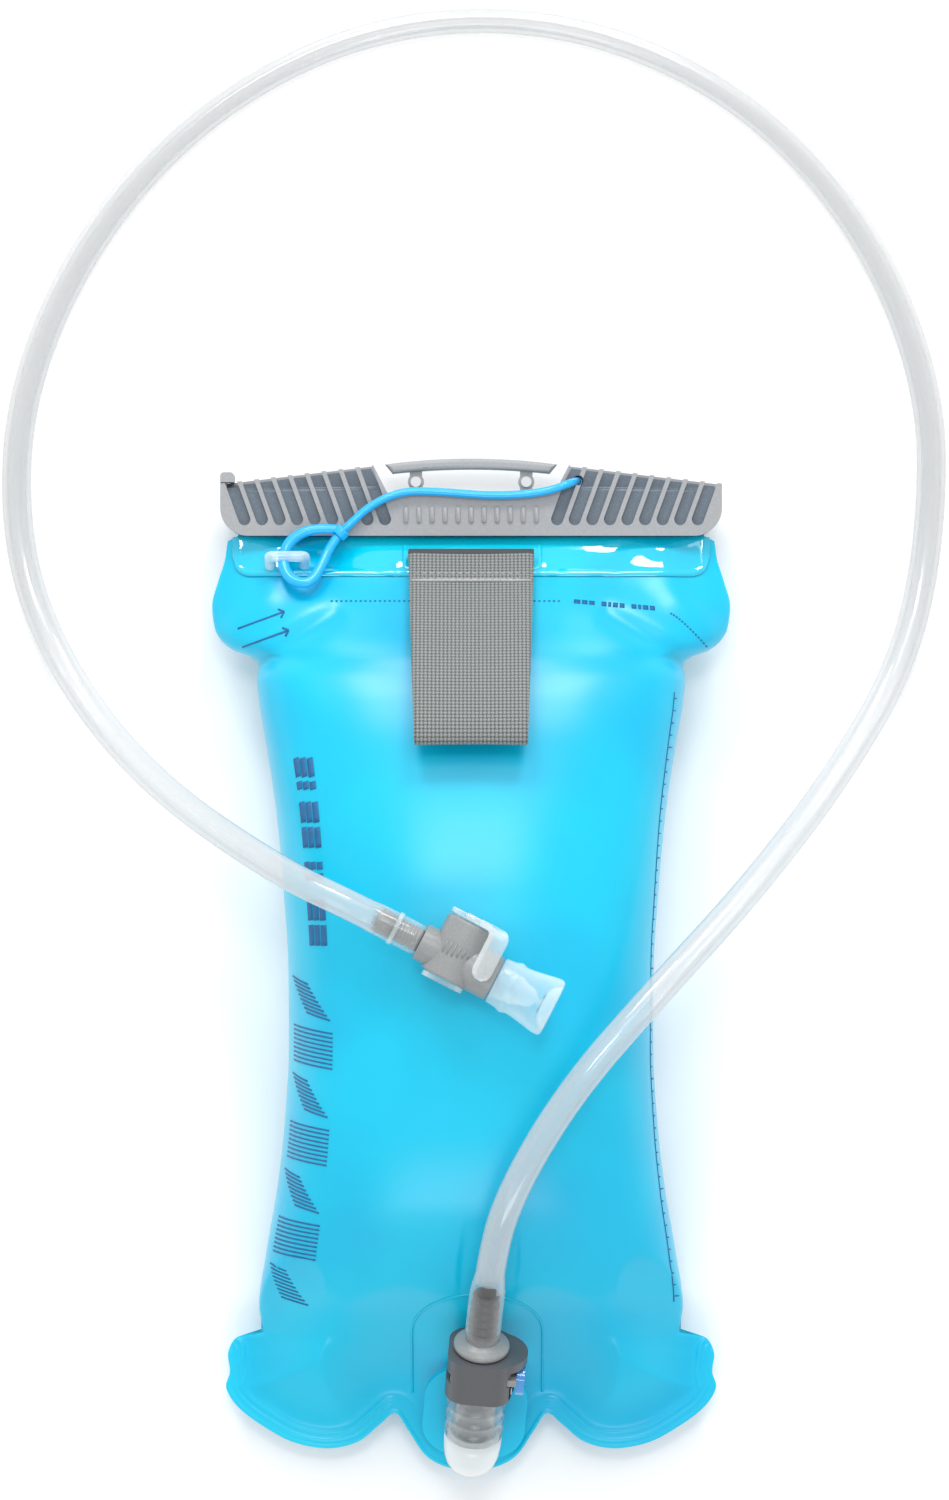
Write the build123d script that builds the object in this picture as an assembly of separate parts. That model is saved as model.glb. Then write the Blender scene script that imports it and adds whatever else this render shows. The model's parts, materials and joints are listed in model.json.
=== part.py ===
"""Hydration bladder lying on its back: an inflated film bag, its slide closure, its strap and tether,
the port with a quick-release plug, and the drinking tube with a shut-off and a bite valve.

Frame: +Z up from the surface that the bag lies on, +Y from the bag's bottom towards its slide closure,
+X to the right as seen from above. The origin is the middle of the bag's footprint. Millimetres.
"""
from build123d import *
from math import cos, radians, sin, tan
import os

# ---------------------------------------------------------------- driving dimensions
HALF_LENGTH = 163.5          # half the length from the bottom lobe to the top of the carry grip
FLAT_HALF_WIDTH = 83.5       # half the film tube's flat width, met at the shoulders
FILM = 1.4                   # two welded plies of film

# Bag stations from top to bottom: (Y, half width, underside Z, top Z). The middle lies flat on the surface.
BAG_STATIONS = [
    (124.0, 79.5, 8.5, 28.0),
    (113.0, FLAT_HALF_WIDTH, 3.0, 38.5),
    (101.5, 77.0, 0.3, 48.0),
    (89.0, 69.2, -0.5, 55.5),
    (70.0, 65.4, -0.6, 64.0),
    (48.0, 62.3, -0.6, 70.5),
    (24.0, 60.1, -0.6, 74.5),
    (0.0, 58.7, -0.6, 76.2),
    (-25.0, 58.5, -0.6, 75.6),
    (-50.0, 59.8, -0.6, 72.4),
    (-72.0, 62.3, -0.6, 66.4),
    (-92.0, 65.6, -0.5, 56.6),
    (-110.0, 67.8, -0.2, 44.0),
    (-126.0, 67.2, 1.6, 31.0),
    (-139.0, 62.5, 4.6, 21.4),
    (-149.0, 52.0, 8.0, 15.0),
]
SIDE_LEVEL = 0.42            # height of the bag's widest point, as a share of its thickness
ROUND_POWER = 0.92           # below 1 squares the section's corners
FLAT_POWER = 0.62            # below 1 flattens the underside
SEAM_Z = 11.5                # middle height of the bottom weld

# Pieces on the flap, the bag's slope below the closure
BAND_WIDTH = 154.0
BAND_CORNER = 5.5
BAND_THICK = 0.8             # also the welded strap patch's thickness
PATCH_WIDTH = 44.0
EYELET_X = -59.1
EYELET_WIDTH, EYELET_DEPTH, EYELET_RISE = 14.0, 3.4, 6.9
EYELET_OPENING = (9.6, 5.2)  # width and height of the arch
STRAP_THICK = 1.3
STRAP_HALF = 18.6
STRAP_ROLL_R = 2.0
STRAP_ROLL = (0, 7.4, 4.0)   # on the flap: up its slope, and off its face
LOOP_D = 3.4                 # the tether's thick hitched end

# Slide closure
SLIDER_HALF = 80.8
SLIDER_BOTTOM = 138.5        # Y of its straight lower edge
SLIDER_BACK = 11.0           # Z of its back face: a tube on the surface passes below it
BACK_PLATE = 2.0
CHANNEL_DEPTH = 8.5
FRONT_PLATE = 2.0
CHANNEL_WALL = 1.5
CHANNEL_TOP = 154.0
MIDDLE_TOP = 152.4           # Y of the upper edge between the wings
WING_OUTER_TOP = 155.3
WING_INNER_TOP = 161.2
WING_INNER_X = 31.5
WING_FOOT_X = 27.0
MOUTH = 3.2                  # gap between the channel's lips
FOLD_THICK = 4.2             # folded film captured in the channel
FOLD_HALF = 75.5
CORE_HALF = 78.6
WINDOW_PITCH = 5.66
WINDOW_WIDTH = 3.9
WINDOW_LEAN = 20.0           # degrees from the Y axis
WINDOWS = 9                  # per wing
FOLD_Z = SLIDER_BACK + BACK_PLATE + CHANNEL_DEPTH / 2
NECK_THICK = 2.6             # film where it enters the closure
GRIP_HALF = 27.8
GRIP_ENDS = 161.6            # Y of the grip's ends
GRIP_BAR = 6.4               # the bar's thickness
GRIP_Z = SLIDER_BACK + 6.2
GRIP_POST_X = 17.8
PIN_Y = 156.0
PIN_R = 1.05
TETHER_HOLE = (34.5, 156.4)
TETHER_D = 2.6

# Port and plug, measured along the port's own axis from the closed tip of its socket
PORT_TIP = (-0.5, -162.6, 22.5)
PORT_TILT = 32.0
PORT_YAW = 5.2
SOCKET_R = 9.2
SOCKET_TOP = 46.0
SOCKET_TIP = [
    (0, 0), (4.2, 0.6), (7.0, 2.6), (8.6, 5.6), (SOCKET_R, 9.0), (SOCKET_R, SOCKET_TOP), (0, SOCKET_TOP),
]
SOCKET_BORE = 7.4
POPPET_BORE = 5.6
OUTLET_R, OUTLET_AT = 2.6, 9.0
BASE_WIDTH, BASE_LENGTH = 33.0, 35.0
BASE_MIDDLE = 16.0
HOUSING_LOW, HOUSING_TOP = 34.0, 49.0
HOUSING_SIDE = 21.2
LOBE_R, LOBE_X, LOBE_THICK = 9.4, 5.6, 3.0
LATCH_LOW, LATCH_TOP = 40.8, 43.2
LATCH_WIDTH = 16.0
LATCH_TRAVEL = 1.8
PAD_X, PAD_MIDDLE = 13.3, 40.0
STEM_R = 6.3
STEM_NOSE = 15.0
FLANGE_R = 8.8
BARB_NECK_R, BARB_R = 4.25, 4.95
BARB_ROOT, BARB_TIP = 53.0, 70.5
BARB_RIDGES = 5
O_RINGS = (20.5, 24.5, 28.5)
O_RING_WIRE = 1.0

# Drinking tube
TUBE_D = 9.5
TUBE_START = 53.5            # along the port's axis, over the barb
TABLE = TUBE_D / 2 + 0.05

# Shut-off and bite valve, along the valve's axis from the end of the tube
VALVE_END = (-16.0, 9.6, 86.0)
VALVE_HEADING = -27.2        # degrees about Z
SPINDLE_R = 6.12
BARREL_R = 8.0
BARREL_MID = 12.0
BARREL_LOW, BARREL_HIGH = -7.0, 12.3
SLEEVE_START = 26.6          # where the bite valve meets the grey neck
FLOW_R = 2.4                 # of the water's way through the plug, the shut-off and its insert
RING_GROOVES = (BARREL_LOW + 2.2, BARREL_HIGH - 2.2)
CAP_R = 7.6
LEVER_ANGLE = 48.0           # of the open lever, up from the valve's own axis
LEVER_REACH = 15.0


def port_point(along):
    """World point at a distance along the port's axis."""
    return tuple(port_plane().from_local_coords(Vector(0, 0, along)))


def port_plane():
    """Local Z runs up the port's axis to the tube, X to the right, Y down into the bag."""
    axis = Vector(
        sin(radians(PORT_YAW)) * cos(radians(PORT_TILT)),
        cos(radians(PORT_YAW)) * cos(radians(PORT_TILT)),
        sin(radians(PORT_TILT)),
    )
    right = Vector(cos(radians(PORT_YAW)), -sin(radians(PORT_YAW)), 0)
    return Plane(origin=PORT_TIP, x_dir=right, z_dir=axis)


def valve_plane():
    """Local Z runs along the valve to its mouth, X along the shut-off barrel, Y straight up."""
    a = radians(VALVE_HEADING)
    return Plane(origin=VALVE_END, x_dir=(-sin(a), cos(a), 0), z_dir=(cos(a), sin(a), 0))


def at(plane, shape):
    """A shape that was made about the world origin, carried to a plane."""
    return plane.location * shape


def turned(points):
    """A solid of revolution about Z, from (radius, height) points joined by straight lines."""
    wire = Polyline([(r, 0, h) for r, h in points], close=True)
    return revolve(make_face(wire), Axis.Z)


def save(name, *solids):
    """Writes one node's solids to its STEP file."""
    shape = solids[0] if len(solids) == 1 else Compound(children=list(solids))
    export_step(shape, f"parts/{name}.step")


# ---------------------------------------------------------------- bag
def bag_section(y, half, low, high):
    """Cross-section of the bag: a flat underside, rounded flanks and a domed top, as one closed curve."""
    level = low + SIDE_LEVEL * (high - low)
    points = []
    for i in range(24):
        a = radians(i * 15)
        reach = half * abs(cos(a)) ** ROUND_POWER * (1 if cos(a) >= 0 else -1)
        lift = high - level if sin(a) >= 0 else level - low
        power = 1.0 if sin(a) >= 0 else FLAT_POWER
        points.append((reach, level + lift * abs(sin(a)) ** power * (1 if sin(a) >= 0 else -1)))
    plane = Plane(origin=(0, y, 0), x_dir=(1, 0, 0), z_dir=(0, -1, 0))
    return plane.location * make_face(Spline(points, periodic=True))


def lobed_seam():
    """Outline of the bottom weld: an ear at each side and three lobes along the lower edge."""
    right = [
        (66.0, -114.0), (71.5, -118.2), (76.8, -120.2), (78.4, -126.0), (77.6, -131.5), (79.3, -136.5),
        (74.5, -144.0), (66.0, -150.5), (57.0, -155.2), (46.0, -156.8), (36.5, -154.6), (30.0, -149.2),
        (24.5, -145.6), (20.3, -151.0), (14.8, -159.2), (8.0, -162.8), (0.0, -HALF_LENGTH),
    ]
    left = [(-x, y) for x, y in right[-2::-1]]
    edge = Spline(right + left)
    inner_left, inner_right = (-40, -95), (40, -95)
    rest = [Line(left[-1], inner_left), Line(inner_left, inner_right), Line(inner_right, right[0])]
    return make_face([edge] + rest)


def bag_body():
    """The film bag: inflated body, neck, the fold held in the closure, and the lobed bottom weld."""
    body = loft([bag_section(*s) for s in BAG_STATIONS])
    y, half, low, high = BAG_STATIONS[0]
    (head_y, head_z), foot = flap_ends()
    wedge = Plane.YZ * Polyline((head_y, head_z - NECK_THICK), (head_y, head_z), foot, (y, low), close=True)
    wedge = extrude(make_face(wedge), amount=half - 1.0, both=True)
    lip_top = SLIDER_BOTTOM + CHANNEL_WALL + 0.6
    span = 2 * FOLD_HALF
    neck = Pos(0, (SLIDER_BOTTOM - 1 + lip_top) / 2, FOLD_Z) * Box(span, lip_top - SLIDER_BOTTOM + 1, 2.0)
    fold_top = CHANNEL_TOP - CHANNEL_WALL - 0.8
    fold = Pos(0, (lip_top + fold_top) / 2, FOLD_Z) * Box(span, fold_top - lip_top, FOLD_THICK)
    seam = Pos(0, 0, SEAM_Z - FILM / 2) * extrude(lobed_seam(), FILM)
    bag = body + wedge + neck + fold + seam
    table = Pos(0, 0, -10) * Box(400, 400, 20)
    return bag - port_envelope() - table


def port_envelope():
    """Room for the port's base, socket and latch housing in the bag's sloping lower end."""
    base = Pos(0, 0, 20) * Box(35, 2 * (SOCKET_R + 2.4), 46)
    housing = Pos(1.5, 0, (HOUSING_LOW + HOUSING_TOP) / 2 + 8) * Box(31, 23, HOUSING_TOP - HOUSING_LOW + 20)
    way_out = Pos(0, 0, HOUSING_LOW + 32) * Cylinder(SOCKET_R + 0.5, 64)
    return at(port_plane(), base + housing + way_out)


def flap_ends():
    """(Y, Z) of the flap's front: where it enters the closure, and where it meets the inflated body."""
    y, _, _, high = BAG_STATIONS[0]
    return (SLIDER_BOTTOM - 0.3, FOLD_Z + NECK_THICK / 2), (y, high)


def flap_plane():
    """The sloping front of the flap below the closure: X to the right, Y up the slope towards the closure."""
    head, foot = flap_ends()
    slope = Vector(0, head[0] - foot[0], head[1] - foot[1]).normalized()
    return Plane(origin=(0, *foot), x_dir=(1, 0, 0), z_dir=Vector(1, 0, 0).cross(slope))


def flap_length():
    """Length of the flap up its slope."""
    head, foot = flap_ends()
    return Vector(0, head[0] - foot[0], head[1] - foot[1]).length


def gloss_band():
    """Clear reinforcing band welded across the flap, with rounded lower corners."""
    length = flap_length()
    band = Pos(0, length / 2 + 0.1, 0) * Rectangle(BAND_WIDTH, length - 1.0)
    band = fillet(band.vertices().group_by(Axis.Y)[0], BAND_CORNER)
    return at(flap_plane(), extrude(band, BAND_THICK))


def strap_patch():
    """Welded patch that anchors the hang strap on the band."""
    patch = Pos(0, flap_length() / 2, BAND_THICK) * RectangleRounded(PATCH_WIDTH, flap_length() - 4, 2.5)
    return at(flap_plane(), extrude(patch, BAND_THICK))


def band_strip(line, thickness, half_width):
    """A strip of webbing that follows a line of (Y, Z) points, as a solid across X."""
    offset = []
    for i, (y, z) in enumerate(line):
        before, after = line[max(i - 1, 0)], line[min(i + 1, len(line) - 1)]
        run = Vector(after[0] - before[0], after[1] - before[1]).normalized()
        offset.append((Vector(y, z), Vector(-run.Y, run.X) * thickness / 2))
    upper = [tuple(p + n)[:2] for p, n in offset]
    lower = [tuple(p - n)[:2] for p, n in offset][::-1]
    edges = [Spline(upper), Line(upper[-1], lower[0]), Spline(lower), Line(lower[-1], upper[0])]
    return extrude(Plane.YZ * make_face(edges), half_width, both=True)


STRAP_LOOP = [
    (131.6, 29.0), (123.0, 36.6), (111.0, 49.4), (97.0, 62.2), (84.0, 71.6), (75.0, 76.6), (71.4, 75.0),
    (72.6, 71.2), (84.0, 65.6), (97.0, 57.4), (110.0, 46.4), (121.6, 34.2), (130.4, 27.2),
]


def hang_strap():
    """Webbing hang loop: front and back plies with a fold at the free end, rolled and sewn at the root."""
    loop = band_strip(STRAP_LOOP, STRAP_THICK, STRAP_HALF)
    roll = Pos(*STRAP_ROLL) * Rot(0, 90, 0) * Cylinder(STRAP_ROLL_R, 2 * STRAP_HALF)
    return loop + at(flap_plane(), roll)


def tether_eyelet():
    """Clear moulded arch on the flap that the tether's loop passes under."""
    legs = Pos(0, 0, BAND_THICK) * extrude(Rectangle(EYELET_WIDTH, EYELET_DEPTH), EYELET_RISE)
    legs = fillet(legs.edges().filter_by(Axis.Y).group_by(Axis.Z)[-1], 2.6)
    width, height = EYELET_OPENING
    gap = Pos(0, 0, BAND_THICK) * extrude(Rectangle(width, EYELET_DEPTH + 0.2), height)
    foot = Pos(EYELET_X, flap_length() * 0.31, 0)
    return at(flap_plane(), foot * (legs - gap))


TETHER_ROUTE = [
    (34.5, 156.4, 9.2), (34.5, 156.4, 26.4), (23.5, 152.2, 25.4), (7.0, 151.2, 25.1), (-9.5, 152.6, 25.2),
    (-22.5, 152.9, 25.3), (-32.5, 148.2, 25.6), (-38.5, 142.6, 26.2), (-41.6, 139.6, 26.6),
]
LOOP_ROUTE = [
    (-42.9, 140.4, 26.9), (-50.5, 141.1, 26.6), (-58.2, 137.4, 26.6), (-61.0, 130.6, 27.5),
    (-58.2, 123.9, 31.4), (-51.6, 122.6, 33.4), (-48.2, 128.2, 30.6), (-46.2, 134.4, 27.8),
]


def cord_solid(points, diameter, tight=None):
    """A round cord along straight runs joined by tangent arcs; tight sets the first arc's radius."""
    runs = [Vector(*b) - Vector(*a) for a, b in zip(points, points[1:])]
    radii = []
    for before, after in zip(runs, runs[1:]):
        turn = radians(before.get_angle(after))
        radii.append(0.45 * min(before.length, after.length) / tan(turn / 2))
    if tight:
        radii[0] = tight
    path = FilletPolyline(*points, radius=radii)
    start = Plane(origin=points[0], z_dir=runs[0])
    return sweep(start * Circle(diameter / 2), path)


def tether_loop():
    """Thick moulded end of the tether, hitched through the eyelet."""
    return cord_solid(LOOP_ROUTE, LOOP_D)


# ---------------------------------------------------------------- slide closure
def slider_outline(inset=0.0):
    """Outline of the closure seen from the front: two wings, a lower middle and rounded lower corners."""
    half = SLIDER_HALF - inset
    low = SLIDER_BOTTOM + inset
    corner = 9.0 - inset
    right = [
        (WING_FOOT_X + inset, MIDDLE_TOP - inset), (WING_INNER_X + inset, WING_INNER_TOP - inset),
        (half, WING_OUTER_TOP - inset), (half, low + corner),
    ]
    top = Polyline([(-x, y) for x, y in right[::-1]] + right)
    curve_right = CenterArc((half - corner, low + corner), corner, -90, 90)
    curve_left = CenterArc((-half + corner, low + corner), corner, 180, 90)
    return make_face([top, curve_right, Line((half - corner, low), (-half + corner, low)), curve_left])


def tether_bore():
    """Hole for the tether through the right wing."""
    return Pos(*TETHER_HOLE, SLIDER_BACK + 6) * Cylinder(TETHER_D / 2 + 0.4, 20)


def slider_back():
    """Back plate of the closure, with its lower lip and the thumb tab at the closed end."""
    plate = Pos(0, 0, SLIDER_BACK) * extrude(slider_outline(), BACK_PLATE)
    depth = BACK_PLATE + CHANNEL_DEPTH + FRONT_PLATE
    rim = Pos(-SLIDER_HALF, WING_OUTER_TOP - 5.0, SLIDER_BACK) * Box(
        SLIDER_HALF - CORE_HALF - 0.15, 6.0, depth - FRONT_PLATE, align=(Align.MIN, Align.MIN, Align.MIN)
    )
    tab = Pos(-SLIDER_HALF, WING_OUTER_TOP + 0.45, SLIDER_BACK) * Box(
        4.4, 3.2, depth, align=(Align.MIN, Align.MIN, Align.MIN)
    )
    tab = fillet(tab.edges().filter_by(Axis.Z).group_by(Axis.Y)[-1], 1.2)
    return plate + tab + rim - tether_bore()


def slider_core():
    """Dark channel that grips the folded film, closed at its left end, with a web that stiffens each wing."""
    low_z = SLIDER_BACK + BACK_PLATE
    mid_z = low_z + CHANNEL_DEPTH / 2
    mid_y = (SLIDER_BOTTOM + CHANNEL_TOP) / 2
    height = CHANNEL_TOP - SLIDER_BOTTOM
    block = Pos(0, mid_y, mid_z) * Box(2 * CORE_HALF, height, CHANNEL_DEPTH)
    block = block & (Pos(0, 0, low_z) * extrude(slider_outline(1.2), CHANNEL_DEPTH))
    reach = 2 * SLIDER_HALF
    shift = SLIDER_HALF - FOLD_HALF - 0.6
    slot = Pos(shift, mid_y, mid_z) * Box(reach, height - 2 * CHANNEL_WALL, CHANNEL_DEPTH - 2 * CHANNEL_WALL)
    mouth = Pos(shift, SLIDER_BOTTOM, mid_z) * Box(reach, 4 * CHANNEL_WALL, MOUTH)
    web = Pos(0, 0, low_z) * extrude(slider_outline(0.9), 4.0)
    web = web & (Pos(0, CHANNEL_TOP + 10, low_z + 2) * Box(2 * CORE_HALF, 20, 4.0))
    return block - slot - mouth + web - tether_bore() - grip_slots()


def grip_slots():
    """Room for the grip's posts in the channel's web."""
    slots = [Pos(side * GRIP_POST_X, PIN_Y + 1.0, GRIP_Z) * Box(6.4, 8.0, 5.0) for side in (-1, 1)]
    return slots[0] + slots[1]


def window_cutters():
    """Slanted slots of both wings, rounded at their lower ends."""
    slots = []
    for side in (-1, 1):
        for i in range(WINDOWS):
            foot_x = side * (SLIDER_HALF - 7.8 - i * WINDOW_PITCH)
            slot = Pos(0, 20, 0) * Box(WINDOW_WIDTH, 40, 10) + Cylinder(WINDOW_WIDTH / 2, 10)
            place = Pos(foot_x, SLIDER_BOTTOM + 5.3, SLIDER_BACK + 12) * Rot(0, 0, side * -WINDOW_LEAN)
            slots.append(place * slot)
    return slots


def slider_front():
    """Front frame of the closure: a rail and slanted ribs, open between the ribs, and a plain middle."""
    low_z = SLIDER_BACK + BACK_PLATE + CHANNEL_DEPTH
    plate = Pos(0, 0, low_z) * extrude(slider_outline(), FRONT_PLATE)
    for cutter in window_cutters():
        plate -= cutter
    return plate - tether_bore()


def carry_grip():
    """Arched grip bar on two posts that run down between the closure's plates."""
    under_x, under_y = GRIP_HALF - 2.5, GRIP_ENDS - 3.0
    top = ThreePointArc((-GRIP_HALF, GRIP_ENDS), (0, HALF_LENGTH), (GRIP_HALF, GRIP_ENDS))
    under = ThreePointArc((under_x, under_y), (0, under_y + 1.4), (-under_x, under_y))
    ends = [
        Line((GRIP_HALF, GRIP_ENDS), (under_x, under_y)),
        Line((-under_x, under_y), (-GRIP_HALF, GRIP_ENDS)),
    ]
    bar = Pos(0, 0, GRIP_Z - GRIP_BAR / 2) * extrude(make_face([top, under] + ends), GRIP_BAR)
    bar = fillet(bar.edges().filter_by(Axis.Z, reverse=True), 1.2)
    posts = []
    for side in (-1, 1):
        middle = Pos(side * GRIP_POST_X, PIN_Y, GRIP_Z)
        post = Pos(0, 0.2, 0) * Box(4.0, 7.4, 3.0) + Cylinder(2.6, 3.0) - Cylinder(PIN_R + 0.05, 6)
        posts.append(middle * post)
    return bar + posts[0] + posts[1]


def grip_pins():
    """Two headed pins through the grip's posts."""
    pin = Cylinder(PIN_R, 3.4) + Pos(0, 0, 1.9) * Cylinder(1.7, 0.6)
    return [Pos(side * GRIP_POST_X, PIN_Y, GRIP_Z) * pin for side in (-1, 1)]


def tether():
    """Thin cord that keeps the closure on the bag."""
    return cord_solid(TETHER_ROUTE, TETHER_D, tight=TETHER_D)


def tether_stopper():
    """Moulded knob that holds the tether behind the wing."""
    knob = Cylinder(3.0, 1.6) - Cylinder(TETHER_D / 2 + 0.05, 4)
    return Pos(*TETHER_HOLE, SLIDER_BACK - 1.1) * knob


# ---------------------------------------------------------------- port
def port_socket():
    """Clear moulded socket with a closed round tip, a poppet chamber and a seat for the poppet."""
    bore = turned([
        (0, 5.5), (POPPET_BORE, 5.5), (POPPET_BORE, 16.4), (4.2, 16.4), (4.2, 17.4),
        (SOCKET_BORE, 17.4), (SOCKET_BORE, SOCKET_TOP + 0.5), (0, SOCKET_TOP + 0.5),
    ])
    outlet = Pos(0, 7, OUTLET_AT) * Rot(90, 0, 0) * Cylinder(OUTLET_R, 12)
    latch_way = Box(30, LATCH_WIDTH + 0.4, LATCH_TOP - LATCH_LOW + 0.6)
    latch_way = Pos(0, 0, (LATCH_LOW + LATCH_TOP) / 2) * latch_way
    return at(port_plane(), turned(SOCKET_TIP) - bore - outlet - latch_way)


def port_base():
    """Weld flange under the socket, with a saddle that it sits in and the hole into the bag."""
    plate = extrude(RectangleRounded(BASE_WIDTH, BASE_LENGTH, 12), 1.0, both=True)
    plate = Pos(0, SOCKET_R + 1.1, BASE_MIDDLE) * Rot(90, 0, 0) * plate
    saddle = Pos(0, SOCKET_R - 1.6, BASE_MIDDLE) * Box(9.0, 5.2, 30)
    outlet = Pos(0, 9, OUTLET_AT) * Rot(90, 0, 0) * Cylinder(OUTLET_R, 16)
    socket = Pos(0, 0, 25) * Cylinder(SOCKET_R, 60)
    return at(port_plane(), plate + (saddle - socket) - outlet - turned(SOCKET_TIP))


def latch_housing():
    """Grey collar on the socket's mouth, with the release latch's way and a lobe over the button."""
    collar = RectangleRounded(HOUSING_SIDE, HOUSING_SIDE, 6.5)
    block = Pos(0.2, 0, HOUSING_LOW) * extrude(collar, HOUSING_TOP - HOUSING_LOW)
    lobe = Pos(LOBE_X, 0, HOUSING_TOP - LOBE_THICK / 2) * Cylinder(LOBE_R, LOBE_THICK)
    seat = Pos(0, 0, HOUSING_LOW - 1) * Cylinder(
        SOCKET_R, SOCKET_TOP - HOUSING_LOW + 1, align=(Align.CENTER, Align.CENTER, Align.MIN)
    )
    hole = Pos(0, 0, HOUSING_TOP) * Cylinder(SOCKET_BORE + 0.3, 12)
    way = Pos(0, 0, (LATCH_LOW + LATCH_TOP) / 2) * Box(34, LATCH_WIDTH + 0.8, LATCH_TOP - LATCH_LOW + 0.8)
    pocket = Pos(PAD_X - 0.3, 0, PAD_MIDDLE + 0.2) * Box(8.4, 14.0, 10.9)
    return at(port_plane(), block + lobe - seat - hole - way - pocket)


def latch_plate():
    """Sliding plate of the release latch, with a long hole around the plug."""
    mid = (LATCH_LOW + LATCH_TOP) / 2
    plate = Pos(1.5, 0, mid) * Box(21.0, LATCH_WIDTH, LATCH_TOP - LATCH_LOW)
    hole = Pos(0, 0, mid) * Cylinder(7.5, 6) + Pos(LATCH_TRAVEL, 0, mid) * Cylinder(7.5, 6)
    return at(port_plane(), plate - hole - Pos(LATCH_TRAVEL / 2, 0, mid) * Box(LATCH_TRAVEL, 15.0, 6))


def latch_button():
    """Clear thumb pad on the latch plate."""
    pad = Pos(PAD_X, 0, PAD_MIDDLE) * Box(2.6, 12.6, 9.6)
    pad = fillet(pad.edges().filter_by(Axis.X), 3.0)
    return at(port_plane(), pad)


def latch_spring():
    """Bowed leaf spring between the housing and the thumb pad."""
    back, front, end = 10.6, 10.9, 6.3
    face = make_face([
        ThreePointArc((front, -end), (front + 0.9, 0), (front, end)), Line((front, end), (back, end)),
        ThreePointArc((back, end), (back + 0.9, 0), (back, -end)), Line((back, -end), (front, -end)),
    ])
    return at(port_plane(), Pos(0, 0, 36.6) * extrude(face, 2.4))


def port_poppet():
    """Check valve that closes the socket when the plug is out."""
    body = turned([
        (0, 8.4), (1.6, 8.4), (1.6, 11.2), (5.0, 11.2), (5.0, 13.2), (1.5, 13.2), (1.5, 14.7), (0, 14.7),
    ])
    return at(port_plane(), body)


def poppet_spring():
    """Coil spring under the poppet."""
    wire, radius, height = 0.6, 3.4, 4.6
    helix = Helix(pitch=height / 4, height=height, radius=radius)
    profile = Plane(origin=helix @ 0, z_dir=helix % 0) * Circle(wire / 2)
    return at(port_plane(), Pos(0, 0, 6.0) * sweep(profile, helix))


# ---------------------------------------------------------------- plug and tube
def plug_stem():
    """Plug: nose, stem with O-ring grooves, flange and hose barb, bored right through."""
    barb = []
    step = (BARB_TIP - BARB_ROOT - 1.0) / BARB_RIDGES
    for i in range(BARB_RIDGES):
        low = BARB_ROOT + i * step
        barb += [(BARB_NECK_R, low + 0.1), (BARB_R, low + 0.6)]
    outline = [
        (FLOW_R, STEM_NOSE), (3.6, STEM_NOSE), (3.6, 17.8), (STEM_R, 17.8), (STEM_R, HOUSING_TOP + 0.3),
        (FLANGE_R - 0.4, HOUSING_TOP + 0.3), (FLANGE_R, HOUSING_TOP + 0.8), (FLANGE_R, HOUSING_TOP + 2.4),
        (FLANGE_R - 1.2, BARB_ROOT - 0.4), (5.6, BARB_ROOT),
    ] + barb + [(BARB_NECK_R, BARB_TIP - 1.0), (3.4, BARB_TIP), (FLOW_R, BARB_TIP)]
    stem = turned(outline)
    groove = Cylinder(STEM_R + 1, O_RING_WIRE * 1.5) - Cylinder(STEM_R - 0.2, O_RING_WIRE * 1.5)
    for height in O_RINGS:
        stem -= Pos(0, 0, height) * groove
    return at(port_plane(), stem)


def plug_o_rings():
    """Three sealing rings in the plug's grooves."""
    ring = Torus(SOCKET_BORE - 0.14 - O_RING_WIRE / 2, O_RING_WIRE / 2)
    return [at(port_plane(), Pos(0, 0, height) * ring) for height in O_RINGS]


TUBE_ROUTE = [
    port_point(TUBE_START), port_point(84.0),
    (13.0, -68.5, 78.5), (31.5, -37.5, 82.5), (57.5, -8.0, 76.0), (88.5, 24.5, 55.0), (117.5, 60.5, 27.0),
    (140.0, 97.5, 9.0), (149.2, 138.0, TABLE), (149.4, 187.7, TABLE), (126.7, 242.0, TABLE),
    (85.7, 284.5, TABLE), (30.9, 307.2, TABLE), (-28.2, 306.3, TABLE), (-81.3, 281.8, TABLE),
    (-121.9, 240.5, TABLE), (-146.4, 187.6, TABLE), (-148.3, 136.5, TABLE), (-133.5, 96.5, 10.0),
    (-104.0, 60.0, 37.0), (-62.5, 31.9, 72.0), (-34.0, 18.9, 85.8), VALVE_END,
]


def drink_tube():
    """The drinking tube, from the plug's barb round the bag to the shut-off's barb."""
    return cord_solid(TUBE_ROUTE, TUBE_D)


# ---------------------------------------------------------------- shut-off and bite valve
def valve_barb():
    """Barbed insert of the shut-off, pushed into the tube's end."""
    body = turned([
        (FLOW_R, -15.6), (3.6, -15.6), (4.0, -14.8), (4.0, -9.4), (3.5, -9.0), (3.5, -8.2), (4.0, -7.8),
        (4.0, 0.0), (FLOW_R, 0.0),
    ])
    return at(valve_plane(), body)


def tube_ring():
    """Narrow clear clamp ring on the tube over the insert."""
    inner, outer, low, high = TUBE_D / 2 + 0.02, 5.5, -9.3, -7.9
    return at(valve_plane(), turned([(inner, low), (outer, low), (outer, high), (inner, high)]))


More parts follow.
